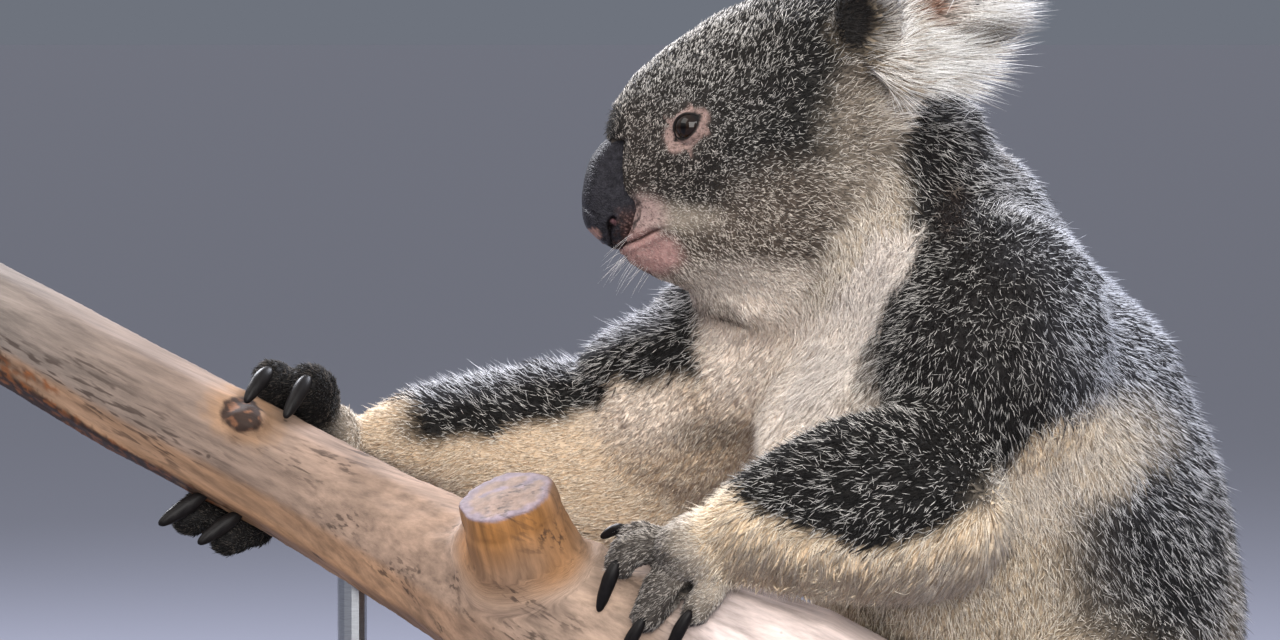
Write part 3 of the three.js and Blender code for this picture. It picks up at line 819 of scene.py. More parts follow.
def scatter(count, crowd):
    """Roots spread over the skin in proportion to a crowding factor at its points."""
    weight = area * (crowd * (1 - bare))[corners].mean(1)
    picked = rng.choice(len(corners), count, p=weight / weight.sum())
    u, v = rng.random(count), rng.random(count)
    u, v = np.where(u + v > 1, 1 - u, u), np.where(u + v > 1, 1 - v, v)
    share = np.stack([1 - u - v, u, v], 1)[:, :, None]

    def at_roots(values):
        values = values if values.ndim > 1 else values[:, None]
        return (values[corners[picked]] * share).sum(1)

    return picked, at_roots


print("skin area", round(area.sum(), 3), "m2")

# %% How each tuft lies
SHIFTS = [Vector(shift) for shift in ((9.3, -1.5, -7.9), (0, 0, 0), (6.3, 0.2, -2.7))]


def swirls(scale):
    """A smooth uneven way at each point of the skin, made of three noises."""
    return np.array([[noise.noise(Vector(p * scale) + shift) for shift in SHIFTS] for p in co])


# Blender's own noise_vector differs from one start of the program to the next.
swirl = swirls(28) * 0.35 + swirls(90) * 0.3
field = unit(lie) + swirl


class Tufts:
    """A scatter of tufts with their roots, ways and sizes."""

    def __init__(self, count, crowd, jitter, size, width, rise):
        picked, at_roots = scatter(count, crowd)
        self.count = count
        self.region = region[corners[picked, 0]]
        self.root, self.out = at_roots(co), unit(at_roots(normal))
        self.tone, hair = at_roots(tone), at_roots(length)[:, 0]
        loose = at_roots(curl)
        way = at_roots(field) + rng.normal(0, 1, (count, 3)) * loose * jitter
        self.way = unit(way - (way * self.out).sum(1)[:, None] * self.out)
        self.side = np.cross(self.out, self.way)
        long_ones = np.where((rng.random(count) < 0.05) & (hair < 16), 1.6, 1.0)
        self.reach = (size(hair) * rng.uniform(0.7, 1.2, count) * long_ones * MM)[:, None]
        self.half = (width(hair) * rng.uniform(0.7, 1.25, count) * MM / 2)[:, None]
        self.rise = np.radians(rise(hair, loose[:, 0])) * rng.uniform(0.6, 1.4, count)
        self.sunk = self.root - self.out * self.half * 0.8

    def along(self, angle, part):
        angle = angle[:, None]
        return (self.way * np.cos(angle) + self.out * np.sin(angle)) * self.reach * part


under = Tufts(
    UNDERWOOL,
    np.interp(length, [1.5, 4, 10, 20, 36], [1.6, 1.6, 1.0, 1.0, 2.2]),
    0.4,
    lambda hair: hair * 0.8,
    lambda hair: np.interp(hair, [1.5, 4, 10, 20, 36], [0.9, 1.3, 2.4, 2.4, 1.2]),
    lambda hair, loose: np.interp(hair, [1.5, 5, 20], [8, 12, 14]),
)
guard = Tufts(
    GUARD,
    np.interp(length, [1.5, 4, 10, 20, 36], [3.2, 2.6, 1.1, 0.9, 2.8]),
    0.75,
    lambda hair: np.interp(hair, [1.5, 4, 10, 14, 20, 40], [1.3, 2.6, 5.4, 9, 13, 36]),
    lambda hair: np.interp(hair, [1.5, 4, 10, 20, 36], [0.34, 0.44, 0.5, 0.54, 0.48]),
    lambda hair, loose: np.interp(hair, [1.5, 5, 11, 20], [20, 34, 40, 26]) * (0.6 + 0.9 * loose),
)
print(UNDERWOOL, "tufts of underwool,", GUARD, "guard hairs")

# %% Their shapes
ridge = under.root + under.along(under.rise, 0.5)
under_spikes = np.stack(
    [
        under.sunk + under.side * under.half,
        under.sunk - under.side * under.half,
        under.sunk - under.out * under.half * 0.8 + under.along(under.rise, 0.15),
        ridge + under.out * under.half * 0.4,
        ridge + under.along(under.rise * 0.4, 0.5),
    ],
    1,
)
UNDER_FACES = np.array([[0, 2, 1], [0, 1, 3], [1, 4, 3], [3, 4, 0], [1, 2, 4], [2, 0, 4]])
guard_spikes = np.stack(
    [
        guard.sunk + guard.side * guard.half,
        guard.sunk - guard.side * guard.half,
        guard.root + guard.out * guard.half * 1.2,
        guard.root + guard.along(guard.rise, 1.0),
    ],
    1,
)
GUARD_FACES = np.array([[0, 1, 2], [0, 3, 1], [1, 3, 2], [2, 3, 0]])
print("coat:", UNDERWOOL * len(UNDER_FACES) + GUARD * len(GUARD_FACES), "triangles")

# %% The tone of each tuft
# Pale hairs stand together in small clumps, which gives the pepper and salt of the coat.
clump = np.array(
    [noise.noise(Vector(p * 480)) + 0.5 * noise.noise(Vector(p * 150)) for p in guard.root]
)
share = guard.tone[:, 9]
chance = share + clump * 3 * share * (1 - share)
pale = (rng.random(GUARD) < chance)[:, None] * rng.uniform(0.6, 1.0, (GUARD, 1))
root_tone, mid_tone, tip_tone = guard.tone[:, 0:3], guard.tone[:, 3:6], guard.tone[:, 6:9]
hair_low = root_tone * (1 - 0.6 * pale) + mid_tone * 0.6 * pale
hair_tip = (root_tone * 0.4 + mid_tone * 0.6) * (1 - pale) + tip_tone * pale
hair_tip *= 1 + (0.42 - 0.34 * share[:, None]) * rng.uniform(-1, 0.6, (GUARD, 1))
lit = 0.25 + 0.25 * share[:, None]  # how much of the tip's tone the root has
guard_tones = np.stack([hair_low * (1 - lit) + hair_tip * lit] * 3 + [hair_tip], 1)
# The underwool is darkest low down: partly its own dark colour, partly painted shade between the
# hairs.
mix = rng.uniform(0.2, 0.9, (UNDERWOOL, 1))
root_tone, mid_tone = under.tone[:, 0:3], under.tone[:, 3:6]
wool_tip = root_tone * (1 - mix) + mid_tone * mix
wool_low = root_tone * 0.7 + wool_tip * 0.3
under_tones = np.stack([wool_low] * 3 + [wool_low * 0.4 + wool_tip * 0.6, wool_tip], 1)
print("pale guard hairs:", round(float((pale > 0).mean()), 2), "of all")

# %% [markdown]
# ## A map of the skin for the coat's colours
# For its colours to be drawn into an image, the coat needs a map. Unwrapping every
# spike would leave each less than a dot of it. Instead each tuft gets a small patch at its
# root's place on an unwrapped, simpler copy of the skin, so neighbours share their colours.

# %% Unwrap a simple copy
simple = with_modifier(skin_mesh.copy(), "DECIMATE", ratio=0.04)
unwrapped = as_object(simple, "unwrapped")
bpy.context.view_layer.objects.active = unwrapped
unwrapped.select_set(True)
bpy.ops.object.mode_set(mode="EDIT")
bpy.ops.mesh.select_all(action="SELECT")
bpy.ops.uv.smart_project(angle_limit=math.radians(66), island_margin=0.004)
bpy.ops.object.mode_set(mode="OBJECT")
simple_corners = triangles(simple)
loops = np.empty(len(simple.loop_triangles) * 3, np.int32)
simple.loop_triangles.foreach_get("loops", loops)
map_layer = np.empty(len(simple.loops) * 2, np.float32)
simple.uv_layers.active.data.foreach_get("uv", map_layer)
map_corners = map_layer.reshape(-1, 2)[loops.reshape(-1, 3)]
simple_co = read(simple)
tree = BVHTree.FromPolygons(simple_co.tolist(), simple_corners.tolist())
bpy.data.objects.remove(unwrapped)
print("coat map:", len(simple_corners), "faces unwrapped")


# %% Places on the map
def on_map(points):
    """Each point's place on the unwrapped copy."""
    hit = np.array([tree.find_nearest(Vector(p))[2] for p in points])
    q0, q1, q2 = (simple_co[simple_corners[hit, k]] for k in range(3))
    e1, e2, e3 = q1 - q0, q2 - q0, points - q0
    d11, d12, d22 = (e1 * e1).sum(1), (e1 * e2).sum(1), (e2 * e2).sum(1)
    d31, d32 = (e3 * e1).sum(1), (e3 * e2).sum(1)
    size = np.maximum(d11 * d22 - d12 * d12, 1e-18)
    s = np.clip((d22 * d31 - d12 * d32) / size, 0, 1)[:, None]
    t = np.clip((d11 * d32 - d12 * d31)[:, None] / size[:, None], 0, 1 - s)
    place = map_corners[hit]
    return place[:, 0] * (1 - s - t) + place[:, 1] * s + place[:, 2] * t


PATCH = 0.0015  # half a tuft's patch, as a share of the map's side
UNDER_PATCH = PATCH * np.array([[-1, -1], [1, -1], [0, -0.9], [0, 0], [0, 1]])
GUARD_PATCH = PATCH * np.array([[-1, -1], [1, -1], [0, -0.8], [0, 1]])
under_map = on_map(under.root)[:, None, :] + UNDER_PATCH
guard_map = on_map(guard.root)[:, None, :] + GUARD_PATCH
print("map places from", guard_map.min().round(3), "to", guard_map.max().round(3))

# %% Build the coat's pieces
GROUPS = {
    "head": ("head", "lower_jaw"),
    "ear_left": ("ear_left",),
    "ear_right": ("ear_right",),
    "neck": ("neck",),
    "chest": ("chest",),
    "belly": ("belly",),
    "arm_left": ("upper_arm_left", "forearm_left", "hand_left"),
    "arm_right": ("upper_arm_right", "forearm_right", "hand_right"),
    "leg_left": ("thigh_left", "shank_left", "foot_left"),
    "leg_right": ("thigh_right", "shank_right", "foot_right"),
}
COAT_SLOT = {"ear_left": "ear_fur", "ear_right": "ear_fur"}
COAT_SLOT |= {"chest": "cream_fur", "belly": "tan_fur"}
MOST = 195_000  # triangles in a piece


def coat_piece(name, spikes, faces, tones, places):
    """One mesh of many spikes, each with the same few faces."""
    count, points = spikes.shape[:2]
    mesh = bpy.data.meshes.new(name)
    mesh.vertices.add(count * points)
    mesh.vertices.foreach_set("co", spikes.astype(np.float32).ravel())
    all_faces = (np.arange(count)[:, None, None] * points + faces[None]).reshape(-1, 3)
    mesh.loops.add(len(all_faces) * 3)
    mesh.loops.foreach_set("vertex_index", all_faces.ravel().astype(np.int32))
    mesh.polygons.add(len(all_faces))
    starts = np.arange(0, len(all_faces) * 3, 3, dtype=np.int32)
    mesh.polygons.foreach_set("loop_start", starts)
    layer = mesh.uv_layers.new(name="OFBake")
    layer.data.foreach_set("uv", places[:, faces.ravel()].astype(np.float32).ravel())
    mesh.update()
    give_colours(mesh, "coat", tones.reshape(-1, 3))
    smooth_shaded(mesh)
    return as_object(mesh, name)


coat = []
LAYERS = {
    "wool": (under, under_spikes, UNDER_FACES, under_tones, under_map),
    "hair": (guard, guard_spikes, GUARD_FACES, guard_tones, guard_map),
}
for layer_name, (tufts, spikes, faces, tones, places) in LAYERS.items():
    for group, nodes in GROUPS.items():
        chosen = np.flatnonzero(np.isin(tufts.region, [FLESH.index(n) for n in nodes]))
        chosen = chosen[np.argsort(tufts.root[chosen, 1], kind="stable")]
        parts = max(1, math.ceil(len(chosen) * len(faces) / MOST))
        for number, some in enumerate(np.array_split(chosen, parts)):
            name = f"{layer_name}_{group}_{number + 1}"
            piece = coat_piece(name, spikes[some], faces, tones[some], places[some])
            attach(piece, "root")
            coat.append(piece)
            print(name, len(some), "tufts")

# %% [markdown]
# ## Whiskers
# A few stiff white hairs stand out from the lips and the chin. They could be curves with a
# thickness, but as solids they are simpler as cones: a narrow cone with three sides is cut into
# rings, and each whisker is that cone bent forwards and down.

# %% Whisker pieces
WHISKERS = 30
cone = bmesh.new()
bmesh.ops.create_cone(cone, cap_ends=True, segments=3, radius1=0.1, radius2=0.02, depth=1)
for cut_at in (-0.25, 0.0, 0.25):
    parts = cone.verts[:] + cone.edges[:] + cone.faces[:]
    bmesh.ops.bisect_plane(cone, geom=parts, plane_co=(0, 0, cut_at), plane_no=(0, 0, 1))
cone_mesh = as_mesh(cone, "cone")
cone_co, cone_faces = read(cone_mesh), triangles(cone_mesh)
UPPER_LIP = [(16, -33, -55), (20, -28, -51), (22, -22, -47)]
CHIN = [(5, -34, -62), (8, -30, -68), (16, -20, -71)]
skin_tree = BVHTree.FromPolygons(co.tolist(), corners.tolist())
whisker_root, whisker_out = [], []
for number in range(WHISKERS):
    line = np.array(UPPER_LIP if number % 6 == 0 else CHIN, float)
    place = rng.uniform(0, 1.99)
    at = line[int(place)] + (line[int(place) + 1] - line[int(place)]) * (place % 1)
    side = 1 if rng.random() < 0.6 else -1
    near_lip = Vector(spot(*(at * (side, 1, 1) + rng.normal(0, 1.2, 3))))
    hit, out, _, _ = skin_tree.find_nearest(near_lip)
    whisker_root.append(hit)
    whisker_out.append(out)
whisker_root = np.array(whisker_root)
leave = unit(np.array(whisker_out) + (0, -0.6, -0.45) + rng.normal(0, 0.2, (WHISKERS, 3)))
droop = np.array([0, -0.15, -0.35]) + rng.normal(0, 0.1, (WHISKERS, 3))
reach = rng.uniform(7, 15, (WHISKERS, 1, 1)) * MM
across_hair = unit(np.cross(leave, (0, 0, 1)))
other = np.cross(leave, across_hair)
t = (cone_co[:, 2] + 0.5)[None, :, None]
spine = whisker_root[:, None] + reach * (leave[:, None] * t + droop[:, None] * t * t)
spine += MM * (across_hair[:, None] * cone_co[None, :, :1] + other[:, None] * cone_co[None, :, 1:2])
whisker_tones = np.tile(linear("#d9d5d3"), (WHISKERS, len(cone_co), 1))
on_patch = rng.uniform(-PATCH, PATCH, (len(cone_co), 2))
whisker_map = on_map(whisker_root)[:, None, :] + on_patch
whiskers = coat_piece("whiskers", spine, cone_faces, whisker_tones, whisker_map)
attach(whiskers, "root")
coat.append(whiskers)
print("whiskers:", WHISKERS, "of", len(cone_faces), "triangles")

# %% [markdown]
# ## Materials
# A finish could be painted into an image by hand. Patterns made by nodes have no seams, and
# their sizes can be given in real millimetres, so every finish below is built from nodes. One
# function adds a node, and another sets or links its inputs.

# %% Nodes
def connect(tree, node, inputs):
    """Sets each input to a value, or links it to another node's output."""
    for key, value in inputs.items():
        if isinstance(value, bpy.types.NodeSocket):
            tree.links.new(value, node.inputs[key])
        else:
            node.inputs[key].default_value = value


def add(tree, kind, inputs=None, **settings):
    """Adds a node with its settings and its inputs."""
    node = tree.nodes.new(kind)
    for key, value in settings.items():
        setattr(node, key, value)
    connect(tree, node, inputs or {})
    return node


def new_material(name):
    material = bpy.data.materials.new(name)
    material.use_nodes = True
    print("finish:", name)
    return material, material.node_tree, material.node_tree.nodes["Principled BSDF"]


def rgba(code):
    return (*linear(code), 1.0)


def give(piece, material):
    piece.data.materials.clear()
    piece.data.materials.append(material)


# %% Patterns in millimetres
def apart(size):
    """The scale that puts a pattern's marks this many millimetres apart."""
    return 1 / (size * MM)


def span(low, high, dark=0.0, light=1.0):
    """The inputs that map a range of values to another one."""
    return {"From Min": low, "From Max": high, "To Min": dark, "To Max": light}


def mottled(tree, colours, where, noise_inputs, dark, light):
    """A piece's own colours made darker and lighter by a noise, and the noise itself."""
    tint = add(tree, "ShaderNodeAttribute", attribute_name=colours)
    flecks = add(tree, "ShaderNodeTexNoise", {"Vector": where, **noise_inputs}).outputs["Fac"]
    level = add(tree, "ShaderNodeMapRange", {"Value": flecks, **span(0.3, 0.7, dark, light)})
    scaled = {0: tint.outputs["Color"], "Scale": level.outputs["Result"]}
    shade = add(tree, "ShaderNodeVectorMath", scaled, operation="SCALE")
    return shade.outputs["Vector"], flecks


# %% Wool
# Wool: dull, soft fibres that scatter light at their edges, which sheen stands for. Real
# fibres are far too fine to show, so the flecks along a tuft are about a millimetre apart.
wool, tree, shader = new_material("koala wool")
where = add(tree, "ShaderNodeTexCoord").outputs["Object"]
colour, _ = mottled(tree, "coat", where, {"Scale": apart(1.111), "Detail": 2.0}, 0.8, 1.2)
connect(tree, shader, {"Base Color": colour, "Roughness": 0.75, "Specular IOR Level": 0.15})
connect(tree, shader, {"Sheen Weight": 0.06, "Sheen Roughness": 0.5})
for piece in coat:
    give(piece, wool)

# %% Skin under the coat
# Skin: matt, blotched every few millimetres, with pores and creases about a millimetre apart.
hide, tree, shader = new_material("koala skin")
where = add(tree, "ShaderNodeTexCoord").outputs["Object"]
colour, _ = mottled(tree, "hide", where, {"Scale": apart(3.333), "Detail": 4.0}, 0.78, 1.15)
pores = add(tree, "ShaderNodeTexVoronoi", {"Vector": where, "Scale": apart(1.111)})
dents = {"Height": pores.outputs["Distance"], "Strength": 0.35, "Distance": 0.4 * MM}
relief = add(tree, "ShaderNodeBump", dents).outputs["Normal"]
connect(tree, shader, {"Base Color": colour, "Normal": relief})
connect(tree, shader, {"Roughness": 0.6, "Specular IOR Level": 0.15})
give(skin, hide)

# %% [markdown]
# ## Nose
# The nose leather is a tall smooth shield, nearly black, with a fine pebbled grain. Its
# nostrils are commas whose tails run down to the lip. A lofted box would keep hard edges. A
# sphere has none, so its rings are moved to the nose's profile and half width at each height,
# and the nostrils are then pressed in.

# %% Nose shape
# It is spun up from level slices: each has the front and back of the profile and a half width.
NOSE_FRONT = [(-59.8, -38), (-58, -41.5), (-54, -46.5), (-49, -51), (-44, -52.6), (-34, -53)]
NOSE_FRONT += [(-24, -51.5), (-16, -49), (-8, -43.6), (-4.5, -38.5), (-3.4, -35)]
NOSE_BOTTOM, NOSE_TOP = -59.8, -3.4
NOSE_SLICES, NOSE_AROUND = 110, 150


def eased_table(table, z):
    """A table of (z, value) rows, blurred over three millimetres."""
    return np.mean([along_z(table, z + step) for step in (-1.5, -0.75, 0, 0.75, 1.5)], axis=0)


nose_shape = bmesh.new()
bmesh.ops.create_uvsphere(nose_shape, u_segments=NOSE_AROUND, v_segments=NOSE_SLICES, radius=1.0)
for v in nose_shape.verts:
    t = v.co.z
    z = NOSE_BOTTOM + (NOSE_TOP - NOSE_BOTTOM) * (math.asin(max(-1, min(1, t))) / math.pi + 0.5)
    ring = Vector((v.co.x, v.co.y))
    sine, cosine = ring.normalized() if ring.length > 1e-6 else (0.0, 0.0)
    level = (z - NOSE_BOTTOM) / (NOSE_TOP - NOSE_BOTTOM) * 2 - 1
    close = (1 - min(1, abs(level)) ** 9) ** (1 / 3) if ring.length > 1e-6 else 0.0
    front, rear = float(eased_table(NOSE_FRONT, z)), float(eased_table(NOSE_BACK, z)) + 5
    wide = float(eased_table(NOSE_WIDE, z))
    deep, power = (rear - front) / 2, 2.5 if cosine < 0 else 5
    flatness = (abs(sine) / wide) ** power + (abs(cosine) / deep) ** power
    round_way = flatness ** (-1 / power) if close else 0.0
    x, y = sine * round_way * close, cosine * round_way * close
    v.co = Vector(spot(x, (front + rear) / 2 + y, z))
bmesh.ops.recalc_face_normals(nose_shape, faces=nose_shape.faces)
nose_mesh = as_mesh(nose_shape, "nose")
soften(nose_mesh, 4)
print("nose:", round(NOSE_TOP - NOSE_BOTTOM, 1), "mm tall")

# %% Nostrils
# Each nostril is a comma: a round head, and a tail that runs down to the lip (y, z and radius).
COMMA = [(-38.0, -44.4, 1.8), (-38.6, -46.6, 2.4), (-39.6, -49.2, 1.5)]
COMMA += [(-39.6, -52.0, 0.8), (-38.4, -58.5, 0.5)]
FOLD = [(-52.5, -38.5), (-47, -42.5), (-42, -49.5)]
nose_co, nose_normal = read(nose_mesh), read(nose_mesh, "normal")
nose_local = (nose_co - BROW) / MM


def outside(points, path):
    """Millimetres outside a chain of discs drawn on the side of the nose, below 0 inside it."""
    steps = np.linspace(0, len(path) - 1, 40)
    rows = np.array(path, float)
    y, z, r = (np.interp(steps, range(len(path)), column) for column in rows.T)
    off = np.hypot(points[:, 1][:, None] - y, points[:, 2][:, None] - z) - r
    return np.where(np.abs(points[:, 0]) > 3.5, off.min(1), 9.0)


off_comma = outside(nose_local, COMMA)
off_fold = outside(nose_local, [(y, z, 0.0) for y, z in FOLD])
off_wing = outside(nose_local, [(y + 4.5, z, 0.0) for y, z, _ in COMMA[:3]])
push = 1.0 * np.exp(-((off_wing / 3.2) ** 2)) - 0.6 * np.exp(-((off_fold / 0.9) ** 2))
push -= 3.0 * (1 - ease(-1.1, 0.4, off_comma))
write(nose_mesh, nose_co + nose_normal * (push * MM)[:, None])
soften(nose_mesh, 1)
nose_co = read(nose_mesh)
print("nostril points:", int((off_comma < 0).sum()))

# %% Tones of the nose
# Black leather, brown and fleshy by the nostrils' wings, with a pink patch over the lip.
# The insides of the nostrils are painted near black, as painted shade in the hollows.
LEATHER, NOSTRIL_SHADE, PINK = linear("#232226"), linear("#0b0708"), linear("#8a6c64")
WING, BLUSH = linear("#2b1f1e"), linear("#5c4245")
speckle = np.array([noise.noise(Vector(p * 500)) for p in nose_co])
pink_patch = np.linalg.norm((nose_local - [3, -47.2, -52]) / [19, 4.6, 4.2], axis=1) + 0.3 * speckle
fleshy = ease(-5, 2, nose_local[:, 1] + 34 + 6 * speckle) * ease(36, 45, -nose_local[:, 2])
blush = np.hypot(nose_local[:, 1] + 37.6, nose_local[:, 2] + 46) - 1.4
flesh_spots = ease(0.15, 0.4, np.array([noise.noise(Vector(p * 900)) for p in nose_co]))
# The nostrils' hollows, painted near black as shade.
inside = 1 - ease(-0.8, 0.3, off_comma)
nose_tone = np.tile(LEATHER, (len(nose_co), 1))
layers = [(fleshy, WING), (fleshy * flesh_spots * 0.6, linear("#6a5450"))]
layers += [(1 - ease(0.7, 1.1, pink_patch), PINK), (inside, NOSTRIL_SHADE)]
layers += [(inside * (1 - ease(-0.5, 0.8, blush)), BLUSH)]
for mask, colour in layers:
    nose_tone = nose_tone * (1 - mask[:, None]) + colour * mask[:, None]
give_colours(nose_mesh, "leather", nose_tone)
smooth_shaded(nose_mesh)
nose = as_object(nose_mesh, "nose_leather")
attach(nose, "root")
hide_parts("nose")
print("nose:", len(triangles(nose_mesh)), "triangles")

# %% Nose leather
# Nose leather: hairless skin, a little moist, with pebbles nearly a millimetre across.
leather, tree, shader = new_material("nose leather")
where = add(tree, "ShaderNodeTexCoord").outputs["Object"]
colour, _ = mottled(tree, "leather", where, {"Scale": apart(2.381), "Detail": 6.0}, 0.55, 1.5)
pebbles = add(tree, "ShaderNodeTexVoronoi", {"Vector": where, "Scale": apart(0.909)})
dents = {"Height": pebbles.outputs["Distance"], "Strength": 0.85, "Distance": 0.6 * MM}
relief = add(tree, "ShaderNodeBump", dents).outputs["Normal"]
connect(tree, shader, {"Base Color": colour, "Normal": relief})
connect(tree, shader, {"Roughness": 0.38, "Specular IOR Level": 0.045})
give(nose, leather)

# %% [markdown]
# ## Eyes
# A koala's eye is dark brown with an upright slit for its pupil, under a clear wet cornea. A
# glass cornea over a separate iris is the full way, but refraction costs time and does little
# for an eye this dark. One ball with a slight bulge over the iris carries all of it, and a
# clear coat gives the wet shine.

# %% Eyeballs
def eyeball(side, name, node):
    shape = bmesh.new()
    bmesh.ops.create_uvsphere(shape, u_segments=64, v_segments=48, radius=1.0)
    long_axis, high_axis, gaze = (Vector(v) for v in eye_axes(side))
    turn = Matrix((long_axis, high_axis, gaze)).transposed().to_4x4()
    layer = shape.verts.layers.float_vector.new("eye_place")
    for v in shape.verts:
        v[layer] = v.co.copy()
        bulge = 1 + 0.06 * float(ease(0.75, 1.0, v.co.z))
        v.co = Vector(EYES[side]) + turn @ (v.co * bulge) * (EYE_RADIUS * MM)
    bmesh.ops.recalc_face_normals(shape, faces=shape.faces)
    mesh = as_mesh(shape, name)
    smooth_shaded(mesh)
    ball = as_object(mesh, name)
    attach(ball, "root")
    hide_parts(node)
    return ball


eyeballs = [eyeball(1, "eyeball_left", "eye_left"), eyeball(-1, "eyeball_right", "eye_right")]
print("eyeballs:", 2 * EYE_RADIUS, "mm across")

# %% Iris and pupil
# Iris: brown fibres round an upright slit of a pupil. Places on it are in eye radii.
eye_material, tree, shader = new_material("eye")
place = add(tree, "ShaderNodeAttribute", attribute_name="eye_place").outputs["Vector"]
tilted = {"Vector": place, "Angle": EYE_TILT}
turned = add(tree, "ShaderNodeVectorRotate", tilted, rotation_type="Z_AXIS")
upright = add(tree, "ShaderNodeSeparateXYZ", {"Vector": turned.outputs["Vector"]})
SLIT_SHAPE = 2.6  # the pupil's height over its width
widened = {0: upright.outputs["X"], 1: SLIT_SHAPE}
squeezed = add(tree, "ShaderNodeMath", widened, operation="MULTIPLY")
both = {"X": squeezed.outputs["Value"], "Y": upright.outputs["Y"]}
oval = add(tree, "ShaderNodeCombineXYZ", both).outputs["Vector"]
slit = add(tree, "ShaderNodeVectorMath", {0: oval}, operation="LENGTH").outputs["Value"]
pupil = add(tree, "ShaderNodeMapRange", {"Value": slit, **span(0.36, 0.42)}).outputs["Result"]
parts = add(tree, "ShaderNodeSeparateXYZ", {"Vector": place})
flat = add(tree, "ShaderNodeCombineXYZ", {"X": parts.outputs["X"], "Y": parts.outputs["Y"]})
radius = add(tree, "ShaderNodeVectorMath", {0: flat.outputs["Vector"]}, operation="LENGTH")
ramp = add(tree, "ShaderNodeValToRGB", {"Fac": radius.outputs["Value"]})
stops = ramp.color_ramp.elements
stops[0].position, stops[0].color = 0.0, rgba("#190e08")
stops[1].position, stops[1].color = 0.60, rgba("#150b06")
for position, code in ((0.70, "#0a0505"), (0.80, "#0e0a09"), (0.92, "#2b2421")):
    stop = stops.new(position)
    stop.color = rgba(code)
fibres = add(tree, "ShaderNodeTexNoise", {"Vector": place, "Scale": 14.0, "Detail": 6.0})
between = {"Value": fibres.outputs["Fac"], **span(0.35, 0.65, 0.6, 1.4)}
grain = add(tree, "ShaderNodeMapRange", between)
scaled = {0: ramp.outputs["Color"], "Scale": grain.outputs["Result"]}
brown = add(tree, "ShaderNodeVectorMath", scaled, operation="SCALE").outputs["Vector"]

# %% Third eyelid and tear film
# The third eyelid shows pale in the front corner. The tear film lies over all, as a clear coat.
COLOUR_A, COLOUR_B, MIXED = 6, 7, 2  # the colour sockets of a Mix node
mix = {"Factor": pupil, COLOUR_A: rgba("#040202"), COLOUR_B: brown}
mixed = add(tree, "ShaderNodeMix", mix, data_type="RGBA").outputs[MIXED]
corner = add(tree, "ShaderNodeMapRange", {"Value": parts.outputs["X"], **span(-0.62, -0.74)})
mix = {"Factor": corner.outputs["Result"], COLOUR_A: mixed, COLOUR_B: rgba("#6a5f5a")}
third_lid = add(tree, "ShaderNodeMix", mix, data_type="RGBA").outputs[MIXED]
connect(tree, shader, {"Base Color": third_lid, "Roughness": 0.5, "Specular IOR Level": 0.0})
connect(tree, shader, {"Coat Weight": 1.0, "Coat IOR": 1.34, "Coat Roughness": 0.03})
for ball in eyeballs:
    give(ball, eye_material)

# %% [markdown]
# ## Claws
# Each claw is long, dark and curved, and made of horn: smooth and a little glossy. The packed
# claws have the right curve but flat facets, so a copy of each is subdivided until it is
# round, and its root is drawn out to lie under the fur.

# %% Claw horn
# Horn: dense and polished by use, with faint bands every few millimetres.
claw_material, tree, shader = new_material("claw horn")
where = add(tree, "ShaderNodeTexCoord").outputs["Object"]
grain = add(tree, "ShaderNodeTexNoise", {"Vector": where, "Scale": apart(2.5), "Detail": 3.0})
ramp = add(tree, "ShaderNodeValToRGB", {"Fac": grain.outputs["Fac"]})
for stop, code in zip(ramp.color_ramp.elements, ("#080707", "#191616")):
    stop.color = rgba(code)
connect(tree, shader, {"Base Color": ramp.outputs["Color"], "Roughness": 0.4})
connect(tree, shader, {"Specular IOR Level": 0.1})

# %% Claw pieces
for node in sorted(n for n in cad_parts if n.startswith("claw")):
    mesh = as_mesh(merged_copy([node], swell=0.3 * MM), node)
    horn = read(mesh)
    hand = np.array(middle(node.split("_")[1] + "_" + node.split("_")[2]))
    tip = horn[np.argmax(np.linalg.norm(horn - hand, axis=1))]
    write(mesh, tip + (horn - tip) * 1.16)  # the root reaches on under the fur
    mesh = with_modifier(mesh, "SUBSURF", levels=2, render_levels=2)
    write(mesh, read(mesh) + read(mesh, "normal") * (0.45 * MM))
    smooth_shaded(mesh)
    claw = as_object(mesh, "horn_" + node)
    give(claw, claw_material)
    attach(claw, "root")
    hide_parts(node)
    print(claw.name, len(triangles(mesh)), "triangles")

# %% [markdown]
# ## The branch
# A eucalypt branch that has lost its bark: pale, smooth and dry, with streaks along the grain,
# a knot, small pits and one sawn stub. It could be a tube along a curve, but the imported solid
# already has the right bends and swellings. So it is remeshed and smoothed, the saw cut is
# squared up again, and waves in the surface follow the grain.

# %% Branch shape
GRAIN = unit(np.array([-0.05, 0.885, -0.466]))
STUB_FOOT, STUB_TOP = spot(74, -75, -209), spot(90, -85, -173)
STUB_AXIS = unit(STUB_TOP - STUB_FOOT)
packed_branch = as_mesh(merged_copy(["perch_branch"]), "branch")
wood_mesh = with_modifier(packed_branch, "REMESH", mode="VOXEL", voxel_size=2.4 * MM)
soften(wood_mesh, 30)
KNOT = spot(22, -214, -137)
refine(wood_mesh, [Vector(STUB_TOP), Vector(KNOT)], 28)
soften(wood_mesh, 4)
print("branch:", len(wood_mesh.vertices), "points")


# %% The stub's saw cut

def round_the_stub(points):
    """Height over the stub's foot, distance from its axis, and the angle round it."""
    off = (points - STUB_FOOT) / MM
    up = off @ STUB_AXIS
    first = unit(np.cross(STUB_AXIS, (1, 0, 0)))
    second = np.cross(STUB_AXIS, first)
    u, v = off @ first, off @ second
    return up, np.hypot(u, v), np.arctan2(v, u)


def waves(angle):
    """A few waves round the stub, which added up give its outline."""
    turns = [f(k * angle) for k in (1, 2, 3) for f in (np.cos, np.sin)]
    return np.stack([np.ones_like(angle)] + turns, 1)


